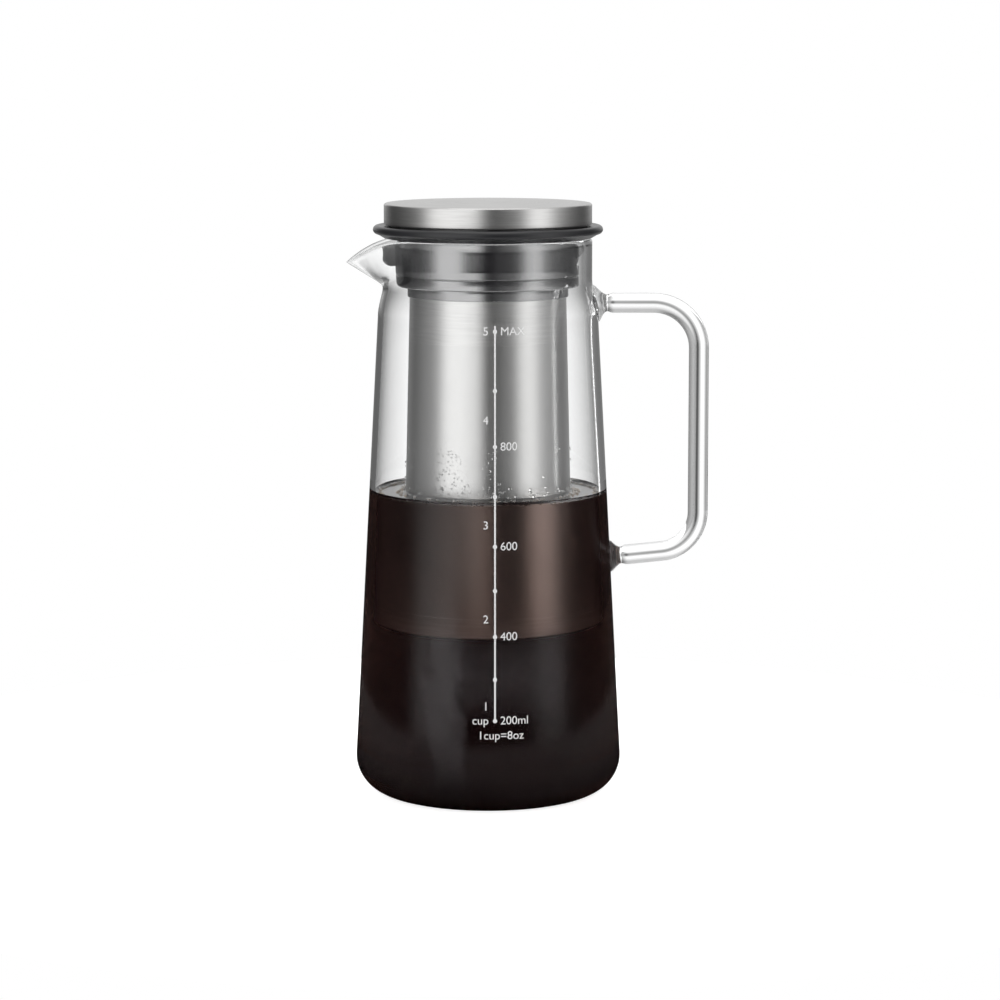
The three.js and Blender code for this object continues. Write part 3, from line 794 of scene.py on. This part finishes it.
def scatter(name, finish, **values):
    """Mesh from the bead nodes with these named inputs, all round unless From and To say else."""
    group = scatter_group()
    values = {"From": 0.0, "To": 2 * math.pi, "Finish": finish, **values}
    thing = linked_object(name, bpy.data.meshes.new(name + "_seed"))
    nodes = thing.modifiers.new(group.name, "NODES")
    nodes.node_group = group
    for socket in group.interface.items_tree:
        if socket.in_out == "INPUT" and socket.name in values:
            nodes[socket.identifier] = values[socket.name]
    thing.update_tag()
    bpy.context.view_layer.update()
    grown = thing.evaluated_get(bpy.context.evaluated_depsgraph_get())
    mesh = bpy.data.meshes.new_from_object(grown)
    thing.modifiers.clear()
    thing.data = mesh
    if not mesh.polygons:
        raise RuntimeError(name + " came out empty")
    return thing


def dress(thing, *materials):
    """Gives a piece these materials, the first of them to all its faces."""
    thing.data.materials.clear()
    for material in materials:
        thing.data.materials.append(material)


def dress_faces(thing, choose):
    for face in thing.data.polygons:
        face.material_index = choose(face)


def finish_piece(thing, body, slot, *nodes):
    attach(thing, body)
    if nodes:
        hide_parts(*nodes)


class MAKER_OT_jug(bpy.types.Operator):
    """Blow the glass jug with its pulled spout"""
    bl_idname = "maker.jug"
    bl_label = "Glass jug"

    def execute(self, context):
        brew_top = settings().maker_brew.fill_height

        def side(face):
            """Bare wall, dark glass in front of the brew, or its wet inside."""
            middle, normal = face.center, face.normal
            if middle.z >= brew_top:
                return 0
            return 2 if middle.x * normal.x + middle.y * normal.y < 0 or normal.z > 0.3 else 1

        jug = turned_piece("jug_glass", jug_outline(), settings().maker_glass.columns, crowd_columns)
        dress(jug, solid_glass("wall_glass", WALL_WAVES, True), dark_glass(), wet_glass())
        dress_faces(jug, side)
        finish_piece(jug, "jug", "clear_glass", "glass_jug")
        return {"FINISHED"}


class MAKER_OT_handle(bpy.types.Operator):
    """Bend the glass rod and fuse it to the wall"""
    bl_idname = "maker.handle"
    bl_label = "Glass handle"

    def execute(self, context):
        handle = mesh_object("handle_rod", self.rod)
        dress(handle, solid_glass("rod_glass", ROD_WAVES), fused_face())
        dress_faces(handle, lambda face: 1 if len(face.vertices) > 4 else 0)
        finish_piece(handle, "jug", "clear_glass", "glass_handle", "handle_weld_top", "handle_weld_bottom")
        return {"FINISHED"}

    def path(self):
        """Middle of the rod, from the upper weld to the lower one, with its points close together at both."""
        top_wall = wall_radius(HANDLE_TOP) + FUSE_GAP
        foot_wall = wall_radius(HANDLE_FOOT) + FUSE_GAP
        bend_x = HANDLE_REACH - FOOT_BEND
        reach = bend_x + FOOT_BEND * math.sin(ARM_RISE) - foot_wall
        bend_z = HANDLE_FOOT + FOOT_BEND * math.cos(ARM_RISE) + reach * math.tan(ARM_RISE)
        points = [(top_wall + i * GOB_STEP, HANDLE_TOP) for i in range(30)]
        points += [(x * MM, HANDLE_TOP) for x in (53, 57)]
        points += arc((HANDLE_REACH - TOP_BEND, HANDLE_TOP - TOP_BEND), TOP_BEND, UP, OUT, 20)
        points += [(HANDLE_REACH, z * MM) for z in (160, 150, 140, 130, 120, 113)]
        points += arc((bend_x, bend_z), FOOT_BEND, OUT, ARM_RISE + DOWN, 18)
        foot = (foot_wall, HANDLE_FOOT)
        points += straight(points[-1], foot, 5)[1:3]
        near = (foot_wall + GOB_LENGTH, HANDLE_FOOT + GOB_LENGTH * math.tan(ARM_RISE))
        return points + straight(near, foot, 25)

    def rod(self, shape):
        points = self.path()
        sides = 48
        rings = []
        for i, (x, z) in enumerate(points):
            before, after = points[max(i - 1, 0)], points[min(i + 1, len(points) - 1)]
            along = Vector((after[0] - before[0], 0, after[1] - before[1])).normalized()
            across = Vector((0, 1, 0))
            up = along.cross(across)
            from_top = x - points[0][0] if z > HANDLE_TOP - 1 * MM else 1
            from_foot = x - points[-1][0] if z < HANDLE_FOOT + 2 * MM else 1
            radius = ROD_RADIUS + self.gob(from_top, TOP_FLARE) + self.gob(from_foot, FOOT_FLARE)
            ring = []
            for side in range(sides):
                angle = 2 * math.pi * side / sides
                offset = across * math.cos(angle) * radius + up * math.sin(angle) * radius
                place = Vector((x, 0, z)) + offset
                ring.append(shape.verts.new(self.laid_on_wall(place, min(from_top, from_foot))))
            rings.append(ring)
        for first, second in zip(rings, rings[1:]):
            for side in range(sides):
                after = (side + 1) % sides
                shape.faces.new((first[side], first[after], second[after], second[side]))
        shape.faces.new(rings[0])
        shape.faces.new(list(reversed(rings[-1])))

    def laid_on_wall(self, point, away):
        """Bends the gob's first rings to the wall that they are fused to."""
        if away > 10 * MM:
            return point
        wall = math.sqrt(wall_radius(point.z) ** 2 - point.y ** 2) + FUSE_GAP + away
        return Vector((point.x + (wall - point.x) * math.exp(-(away / WALL_PULL_FADE) ** 2), point.y, point.z))

    def gob(self, away, flare):
        """Change in the rod's radius at the fused end: a flare on the wall, then a slight waist."""
        if away > 12 * MM:
            return 0.0
        spread = flare * math.exp(-(away / FLARE_FADE) ** 2)
        return spread - GOB_WAIST * math.exp(-((away - GOB_WAIST_PLACE) / GOB_WAIST_FADE) ** 2)


class MAKER_OT_brew(bpy.types.Operator):
    """Fill the jug with brew, up to its meniscus"""
    bl_idname = "maker.brew"
    bl_label = "Brewed coffee"

    def execute(self, context):
        top = settings().maker_brew.fill_height
        foot = FLOOR_THICKNESS - WET_OVERLAP
        corner = FOOT_CORNER - GLASS_WALL + WET_OVERLAP
        wall, tube = cone_radius(top) - GLASS_WALL + WET_OVERLAP, tube_radius(top)
        outline = [(0, foot), (FOOT_RADIUS * 0.5, foot)]
        outline += arc((FOOT_RADIUS, foot + corner), corner, DOWN, WALL_LEAN, 14)
        outline += [(cone_radius(z * MM) - GLASS_WALL + WET_OVERLAP, z * MM) for z in range(30, 110, 10)]
        outline += [(wall - away * MM, top + self.climb(MENISCUS, away)) for away in MENISCUS_STEPS]
        for side, steps in ((1, MENISCUS_STEPS[::-1]), (-1, (0.3, 0.7, 1.4, 2.6))):
            outline += [(tube + side * away * MM, top + self.climb(FILTER_MENISCUS, away)) for away in steps]
        outline += [(tube * 0.5, top), (0, top)]
        brew = turned_piece("coffee_brew", outline, 160)
        dress(brew, brew_liquid("brew_surface", "ShaderNodeBsdfGlass"),
              brew_liquid("brew_side", "ShaderNodeBsdfRefraction", 0.06, 0.045))
        dress_faces(brew, lambda face: 1 if face.center.z < top - 0.5 * MM else 0)
        finish_piece(brew, "jug", "coffee", "brewed_coffee")
        self.bubbles(top)
        return {"FINISHED"}

    def climb(self, height, away):
        """How high the brew climbs, so many millimetres from a wall."""
        return height * math.exp(-away / MENISCUS_FADE)

    def bubbles(self, top):
        """Foam along both walls, and drops that cling to the filter above the brew."""
        look = settings().maker_brew
        bore, tube = cone_radius(top) - GLASS_WALL, tube_radius(top)
        film = bubble_film("bubble_film", (0.95, 0.9, 0.84))
        drop = solid_glass("clear_drop", DROP_WAVES, False, BREW_IOR)
        foam = {"Count": look.bubbles, "Low": top, "High": top + 0.25 * MM, "Smallest": 0.2 * MM}
        cling = {"Inner": tube + 0.1 * MM, "Outer": tube + 0.2 * MM, "Lean": TUBE_SLOPE}
        grown = (
            scatter("foam_at_glass", film, Seed=3, Inner=bore - 3.2 * MM, Outer=bore - 0.7 * MM,
                    Largest=0.75 * MM, **foam),
            scatter("foam_at_filter", film, Seed=8, Inner=tube + 0.9 * MM, Outer=tube + 3.4 * MM,
                    Largest=0.7 * MM, **foam),
            scatter("splashes", drop, Seed=5, Count=look.splashes // 3, Low=top + 1 * MM, High=top + 18 * MM,
                    Smallest=0.2 * MM, Largest=0.45 * MM, **cling),
            scatter("splashes_spray", drop, Seed=21, Count=look.splashes, Low=top + 1 * MM, High=top + 19 * MM,
                    Smallest=0.12 * MM, Largest=0.32 * MM, From=SPRAY_FROM, To=SPRAY_TO, **cling),
            scatter("splashes_low", drop, Seed=11, Count=look.splashes, Low=top + 0.8 * MM, High=top + 5 * MM,
                    Smallest=0.2 * MM, Largest=0.6 * MM, **cling),
        )
        for thing in grown:
            finish_piece(thing, "filter" if thing.name.startswith("splashes") else "jug", "coffee")


class MAKER_OT_steel(bpy.types.Operator):
    """Finish the filter and the cap in steel"""
    bl_idname = "maker.steel"
    bl_label = "Steel parts"

    def execute(self, context):
        mesh = mesh_steel()
        self.cap(steel("cap_steel", 0.3, 0.7))
        self.tube(mesh, steel("band_steel", 0.3, 0.6))
        for node in ("filter_seam_strip", "filter_base_disc"):
            dress(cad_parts[node], mesh)
        return {"FINISHED"}

    def cap(self, material):
        low, high = CAP_LOW.z, CAP_HIGH.z
        radius = CAP_HIGH.y
        edge = CAP_EDGE
        skirt = radius - STEEL_SHEET
        outline = [(0, high - STEEL_SHEET), (skirt - STEEL_SHEET, high - STEEL_SHEET)]
        outline += [(skirt, high - 2 * STEEL_SHEET), (skirt, low + STEEL_SHEET)]
        outline += [(skirt - CAP_LIP, low + STEEL_SHEET), (skirt - CAP_LIP, low)]
        outline += arc((radius - edge, low + edge), edge, DOWN, OUT, 5)
        outline += [(radius, low + share * (high - low)) for share in (0.3, 0.6)]
        outline += arc((radius - edge, high - edge - CAP_CROWN), edge, OUT, UP - 0.05, 8)
        outline += [(radius * share, high - CAP_CROWN * share ** 2) for share in (0.9, 0.7, 0.5, 0.25)]
        outline.append((0, high))
        cap = turned_piece("lid_steel_cap", outline, 192)
        dress(cap, material, steel("cap_top_steel", 0.34, 0.3))
        dress_faces(cap, lambda face: 1 if face.normal.z > 0.9 else 0)
        finish_piece(cap, "lid", "brushed_steel", "lid_cap")

    def tube(self, mesh, band):
        gap = 0.02 * MM
        low, high = BASE_HIGH.z + gap, BAND_LOW.z - gap
        heights = [low + (high - low) * i / 24 for i in range(25)]
        outer = [(tube_radius(z), z) for z in heights]
        inner = [(r - STEEL_SHEET, z) for r, z in reversed(outer)]
        self.ring("filter_tube", outer + inner, mesh, "etched_steel", "filter_mesh")
        rim, top = BAND_HIGH.y, BAND_HIGH.z
        fold = RIM_FOLD
        foot = high + gap
        line = [(tube_radius(foot), foot), (tube_radius(BAND_MIDDLE), BAND_MIDDLE)]
        line += [(tube_radius(TUBE_WAIST), TUBE_WAIST), (TUBE_TOP_RADIUS, TUBE_TOP - fold)]
        line += arc((TUBE_TOP_RADIUS + fold, TUBE_TOP - fold), fold, IN, UP, 4)
        line += arc((rim - STEEL_SHEET / 2, top - STEEL_SHEET / 2), STEEL_SHEET / 2, DOWN, UP, 6)
        line += [(TUBE_TOP_RADIUS - STEEL_SHEET + fold, top), (TUBE_TOP_RADIUS - STEEL_SHEET, top - fold)]
        line += [(tube_radius(z) - STEEL_SHEET, z) for z in (TUBE_WAIST, foot)]
        self.ring("filter_top_band", line, band, "brushed_steel", "filter_rim_band")
        foot, base_top = BASE_LOW.z, BASE_HIGH.z
        bore = TUBE_FOOT_RADIUS - BASE_LEDGE
        corner = BASE_CORNER
        line = [(bore, foot)]
        line += arc((TUBE_FOOT_RADIUS - corner, foot + corner), corner, DOWN, OUT, 6)
        line += [(tube_radius(base_top), base_top), (tube_radius(base_top) - STEEL_SHEET, base_top)]
        line += arc((TUBE_FOOT_RADIUS - corner, foot + corner), corner - STEEL_SHEET, OUT, DOWN, 6)
        line += [(bore, foot + STEEL_SHEET)]
        self.ring("filter_foot_ring", line, band, "brushed_steel", "filter_base_ring")

    def ring(self, name, line, material, slot, node):
        thing = turned_piece(name, line + line[:1], 192)
        dress(thing, material)
        finish_piece(thing, "filter", slot, node)


class MAKER_OT_holder(bpy.types.Operator):
    """Finish the black holder, seal and plug"""
    bl_idname = "maker.holder"
    bl_label = "Black holder and seal"

    def execute(self, context):
        silicone = black_moulding("black_silicone", 0.3, (0.012, 0.012, 0.014), 1.45)
        sleeve = black_moulding("pressed_silicone", 0.075, (0.008, 0.008, 0.01), 3.0)
        plastic = black_moulding("black_plastic", 0.075, (0.008, 0.008, 0.01), 3.0)
        seal = mesh_object("seal_body", self.seal)
        dress(seal, silicone, sleeve)
        dress_faces(seal, lambda face: 1 if face.center.z < SEAL_SEAT else 0)
        finish_piece(seal, "filter", "black_silicone", "seal_ring")
        holder = mesh_object("holder_body", self.holder)
        dress(holder, plastic)
        finish_piece(holder, "filter", "black_plastic", "filter_holder")
        for node, material in (("plug_o_ring", silicone), ("lid_core", plastic), ("plug_cover", plastic)):
            dress(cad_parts[node], material)
        return {"FINISHED"}

    def seal(self, shape):
        """Flange with its round lip, the sleeve under it, the pour tab and the hook over the air notch."""
        top = SEAL_HIGH.z - FLANGE_ROUND
        lip = SEAL_HIGH.y - FLANGE_ROUND
        seat = HOLDER_TOP - HOLDER_LIP_HEIGHT - FIT_GAP
        line = [(SLEEVE_BORE, SEAL_LOW.z)]
        line += arc((SLEEVE_RADIUS - FIT_GAP, SEAL_LOW.z + FIT_GAP), FIT_GAP, DOWN, OUT, 3)
        line += [(SLEEVE_RADIUS, TAB_FOOT + VENT_LENGTH * i / 12) for i in range(13)]
        line += arc((SLEEVE_RADIUS + FIT_GAP, SEAL_SEAT - FIT_GAP), FIT_GAP, IN, UP, 3)
        line += [(NECK_RADIUS, SEAL_SEAT)]
        line += arc((lip, top), FLANGE_ROUND, DOWN, UP, 14)
        dip = (NECK_RADIUS, HOLDER_TOP)
        line += bezier((lip, top + FLANGE_ROUND), dip, dip, (HOLDER_LIP + FIT_GAP, HOLDER_TOP), 6)[1:]
        line += [(HOLDER_LIP + FIT_GAP, seat), (SLEEVE_BORE, seat)]
        spin_outline(shape, line + line[:1], 256, self.vent)
        root = (SLEEVE_RADIUS + SLEEVE_BORE) / 2
        half = math.asin(TAB_HALF_WIDTH / TAB_RADIUS)
        tab = [(root, TAB_FOOT)]
        tab += arc((TAB_RADIUS - TAB_ROUND, TAB_FOOT + TAB_ROUND), TAB_ROUND, DOWN, OUT, 8)
        tab += arc((TAB_RADIUS - FIT_GAP, TAB_TOP - FIT_GAP), FIT_GAP, OUT, UP, 3)
        tab += [(root, TAB_TOP)]
        spin_outline(shape, tab + tab[:1], 24, None, -half, half)
        half = math.asin(TAB_HALF_WIDTH / HOOK_RADIUS)
        low = TAB_FOOT + VENT_LENGTH / 2
        hook = [(root, low), (self.vent_face(low), low), (HOOK_RADIUS, TAB_FOOT + VENT_LENGTH)]
        hook += arc((HOOK_RADIUS - FIT_GAP, TAB_TOP - FIT_GAP), FIT_GAP, OUT, UP, 3)
        hook += [(root, TAB_TOP)]
        spin_outline(shape, hook + hook[:1], 24, self.vent, math.pi - half, math.pi + half)

    def vent_face(self, height):
        """How far out the notch's slanted face lies at this height."""
        return HOOK_RADIUS - VENT_DEPTH * (1 - (height - TAB_FOOT) / VENT_LENGTH)

    def vent(self, point):
        if TAB_FOOT <= point.z <= TAB_FOOT + VENT_LENGTH:
            point.x = min(point.x, self.vent_face(point.z))
        return point

    def holder(self, shape):
        """Collar round the tube, ledge for the filter's rim and the bore for the lid's plug."""
        foot, collar_foot = HOLDER_FOOT, HOLDER_LOW.z
        chamfer = 0.8 * MM
        collar = tube_radius(collar_foot) + HOLDER_CLEARANCE
        outside = tube_radius(collar_foot) + HOLDER_COLLAR_WALL
        foot_top = SEAL_LOW.z - FIT_GAP
        skirt = SLEEVE_BORE - FIT_GAP
        neck = tube_radius(HOLDER_LEDGE) + FIT_GAP
        lip_foot = HOLDER_TOP - HOLDER_LIP_HEIGHT
        line = [(collar, collar_foot)]
        line += arc((outside - FIT_GAP, collar_foot + FIT_GAP), FIT_GAP, DOWN, OUT, 3)
        line += [(outside, foot), (SLEEVE_RADIUS - chamfer, foot)]
        line += arc((SLEEVE_RADIUS - chamfer, foot + chamfer), chamfer, DOWN, OUT, 6)
        line += [(SLEEVE_RADIUS, foot_top - FIT_GAP / 2), (SLEEVE_RADIUS - FIT_GAP / 2, foot_top)]
        line += [(skirt, foot_top), (skirt, lip_foot), (HOLDER_LIP, lip_foot), (HOLDER_LIP, HOLDER_TOP)]
        line += [(HOLDER_BORE, HOLDER_TOP), (HOLDER_BORE, HOLDER_LEDGE), (neck, HOLDER_LEDGE)]
        line += [(tube_radius(TUBE_WAIST) + HOLDER_CLEARANCE, TUBE_WAIST)]
        spin_outline(shape, line + line[:1], 192)


class MAKER_OT_scale(bpy.types.Operator):
    """Print the measuring scale on the glass"""
    bl_idname = "maker.scale"
    bl_label = "Printed scale"

    def execute(self, context):
        figures = mesh_object("printed_scale", self.scale)
        dress(figures, scale_ink())
        finish_piece(figures, "jug", None)
        return {"FINISHED"}

    def scale(self, shape):
        self.line(shape)
        for height in SCALE_MARKS:
            self.dot(shape, height * MM)
        for height, words in SCALE_RIGHT:
            self.words(shape, words, "LEFT", SCALE_X + RIGHT_GAP, height * MM)
        for height, words in SCALE_LEFT:
            self.words(shape, words, "RIGHT", SCALE_X - LEFT_GAP, height * MM)
        height, words = SCALE_NOTE
        self.words(shape, words, "CENTER", SCALE_X + NOTE_SHIFT, height * MM)

    def wrap(self, across, height, lift):
        """Point on the front of the glass, that far across it and out of it."""
        radius = cone_radius(height)
        turn = across / radius
        return Vector(((radius + lift) * math.sin(turn), -(radius + lift) * math.cos(turn), height))

    def slab(self, shape, places):
        """Closed flat patch of ink from its corners, given as (across, height)."""
        layers = [[shape.verts.new(self.wrap(x, z, lift)) for x, z in places]
                  for lift in (INK_MIDDLE - INK_HALF, INK_MIDDLE + INK_HALF)]
        low, high = layers
        shape.faces.new(list(reversed(low)))
        shape.faces.new(high)
        for i in range(len(places)):
            after = (i + 1) % len(places)
            shape.faces.new((low[i], low[after], high[after], high[i]))

    def line(self, shape):
        half = 0.32 * MM
        low, high = SCALE_MARKS[-1] * MM, SCALE_TOP * MM
        sides = (SCALE_X - half, SCALE_X + half)
        self.slab(shape, [(x, low) for x in sides] + [(x, high) for x in reversed(sides)])

    def dot(self, shape, height):
        radius = 0.8 * MM
        places = [(SCALE_X + radius * math.cos(turn), height + radius * math.sin(turn))
                  for turn in (2 * math.pi * i / 20 for i in range(20))]
        self.slab(shape, places)

    def words(self, shape, words, side, across, height):
        tall = settings().maker_scale.letter_height
        text = bpy.data.curves.new("figures", "FONT")
        text.body = words
        text.size = tall / CAPITAL_SHARE
        text.align_x = side
        text.align_y = "CENTER"
        text.extrude = INK_HALF
        thing = linked_object("figures", text)
        bpy.context.view_layer.update()
        mesh = bpy.data.meshes.new_from_object(thing.evaluated_get(bpy.context.evaluated_depsgraph_get()))
        for vertex in mesh.vertices:
            x, z, lift = vertex.co
            vertex.co = self.wrap(across + x, height + z, lift + INK_MIDDLE)
        shape.from_mesh(mesh)
        bpy.data.meshes.remove(mesh)
        bpy.data.objects.remove(thing)
        bpy.data.curves.remove(text)


class MAKER_OT_stage(bpy.types.Operator):
    """Set the floor, the backdrop light and the camera"""
    bl_idname = "maker.stage"
    bl_label = "Stage"

    def execute(self, context):
        self.camera()
        self.floor()
        self.lamps()
        self.world()
        context.scene.view_settings.view_transform = "Standard"
        return {"FINISHED"}

    def camera(self):
        lens = bpy.data.cameras.new("reference_camera")
        lens.sensor_width = SENSOR_MM
        lens.lens = CAMERA_FOCAL_PX * SENSOR_MM / IMAGE_PX
        camera = linked_object("reference_camera", lens)
        camera.location = (CAMERA_OFFSET, -CAMERA_DISTANCE, CAMERA_HEIGHT)
        camera.rotation_euler = (math.pi / 2 - CAMERA_DIP, 0, 0)
        bpy.context.scene.camera = camera

    def floor(self):
        def sheet(shape):
            rim = [shape.verts.new((TABLE_RADIUS * math.cos(turn), TABLE_RADIUS * math.sin(turn), TABLE_LEVEL))
                   for turn in (2 * math.pi * i / 96 for i in range(96))]
            shape.faces.new(rim)

        floor = mesh_object("floor", sheet)
        material, tree = new_material("floor_white")
        reach = tree.nodes.new("ShaderNodeVectorMath")
        reach.operation = "LENGTH"
        put(tree, position(tree), reach.inputs[0])
        # Painted shadow: near the object the glow that light through glass sees is dimmed
        under = Amount(tree, reach.outputs["Value"]).mapped(*FLOOR_SHADE_REACH, FLOOR_SHADE, 1.0)
        bent = light_path(tree, "Is Transmission Ray") * under
        seen = light_path(tree, "Is Camera Ray").work("MAXIMUM", bent)
        both = tree.nodes.new("ShaderNodeAddShader")
        paper = output(tree, "ShaderNodeBsdfDiffuse", Color=(0.88, 0.88, 0.88, 1))
        glow = output(tree, "ShaderNodeEmission", Color=(1, 1, 1, 1), Strength=seen * FLOOR_GLOW)
        for socket, shader in zip(both.inputs, (paper, glow)):
            put(tree, shader, socket)
        surface(tree, both.outputs[0])
        dress(floor, material)

    def lamps(self):
        data = bpy.data.lights.new("ceiling_softbox", "AREA")
        data.size = CEILING_SIZE
        data.energy = CEILING_LEVEL * math.pi * CEILING_SIZE ** 2
        lamp = linked_object("ceiling_softbox", data)
        lamp.location = (0, 0, CEILING_HEIGHT)
        lamp.visible_camera = False

    def world(self):
        """White to the camera; round the object, a dim room with two softboxes and a bright backdrop."""
        world = bpy.data.worlds.new("studio")
        bpy.context.scene.world = world
        tree = empty_tree(world, "ShaderNodeOutputWorld")
        ways = three_ways(tree, position(tree, "Generated"))
        unbounced = (1.0 - light_path(tree, "Glossy Depth")).clamped()
        through = light_path(tree, "Is Transmission Ray") * unbounced
        level = through.between(self.room(*ways), self.backdrop(*ways))
        light = output(tree, "ShaderNodeBackground", Color=(1, 1, 1, 1), Strength=level)
        white = output(tree, "ShaderNodeBackground", Color=(1, 1, 1, 1), Strength=1.0)
        surface(tree, mixed(tree, light_path(tree, "Is Camera Ray"), light, white))

    def room(self, across, deep, high):
        """What metal, black parts and glass mirror."""
        turn = across.work("ARCTAN2", deep * -1.0)
        lifted = abs(high + LOW_ROOM_DIP).mapped(*LOW_ROOM_EDGE)
        walls = lifted.between(self.levels(turn, LOW_ROOM_LEVELS), self.levels(turn, ROOM_LEVELS)) * ROOM_PEAK
        low_behind = deep.mapped(*BACK_EDGE) * high.mapped(*BACK_LOW_EDGE)
        walls = walls * (1.0 - low_behind * (1 - BACK_LOW_LEVEL))
        in_brew = light_path(high.tree, "Transmission Depth").work("GREATER_THAN", PAST_TWO_FACES)
        walls = in_brew.between(walls, self.levels(turn, BREW_ROOM_LEVELS) * BREW_ROOM_PEAK)
        return high.mapped(*CEILING_EDGE).between(walls, CEILING_LEVEL)

    def backdrop(self, across, deep, high):
        """What shows through glass: the backdrop, grey to both sides and in a low strip at its foot."""
        turn = across.work("ARCTAN2", deep)
        wall = self.levels(turn, BENT_LEVELS) * abs(high).mapped(*BACKDROP_FOOT)
        aside = abs(turn - ROD_DARK_TURN).mapped(*ROD_DARK_SPREAD)
        dark = aside * abs(high - ROD_DARK_RISE).mapped(*ROD_DARK_HEIGHT)
        rod = self.levels(turn, ROD_LEVELS) * (1.0 - dark) * high.mapped(*ROD_TOP_FADE)
        in_rod = light_path(high.tree, "Transmission Depth").work("LESS_THAN", PAST_TWO_FACES)
        return in_rod.between(wall, rod) * BENT_PEAK

    def levels(self, turn, wanted):
        """Brightness by the turn, from a ramp."""
        ramp = add_node(turn.tree, "ShaderNodeValToRGB", Fac=turn.mapped(-math.pi, math.pi))
        stops = ramp.color_ramp.elements
        while len(stops) > 1:
            stops.remove(stops[-1])
        stops[0].position = 0.0
        stops[0].color = (wanted[0][1],) * 3 + (1,)
        for degrees, level in wanted[1:]:
            stops.new((degrees + 180) / 360).color = (level, level, level, 1)
        return Amount(turn.tree, ramp.outputs["Color"])


class MAKER_PT_panel(bpy.types.Panel):
    """Lists the coffee maker's pieces"""
    bl_idname = "MAKER_PT_panel"
    bl_label = "Cold brew coffee maker"
    bl_space_type = "VIEW_3D"
    bl_region_type = "UI"
    bl_category = "Coffee maker"

    def draw(self, context):
        for operator in STEPS:
            self.layout.operator(operator.bl_idname)


GROUPS = {
    "maker_glass": CoffeeMakerGlass,
    "maker_brew": CoffeeMakerBrew,
    "maker_steel": CoffeeMakerSteel,
    "maker_scale": CoffeeMakerScale,
}
STEPS = (
    MAKER_OT_jug, MAKER_OT_handle, MAKER_OT_brew, MAKER_OT_steel,
    MAKER_OT_holder, MAKER_OT_scale, MAKER_OT_stage,
)


def register():
    for name, group in GROUPS.items():
        bpy.utils.register_class(group)
        setattr(bpy.types.Scene, name, bpy.props.PointerProperty(type=group))
    for step in STEPS:
        bpy.utils.register_class(step)
    bpy.utils.register_class(MAKER_PT_panel)


def unregister():
    bpy.utils.unregister_class(MAKER_PT_panel)
    for step in reversed(STEPS):
        bpy.utils.unregister_class(step)
    for name, group in GROUPS.items():
        delattr(bpy.types.Scene, name)
        bpy.utils.unregister_class(group)


def main():
    register()
    for step in STEPS:
        group, name = step.bl_idname.split(".")
        getattr(getattr(bpy.ops, group), name)()
    bpy.context.view_layer.update()


if __name__ == "__main__":
    main()
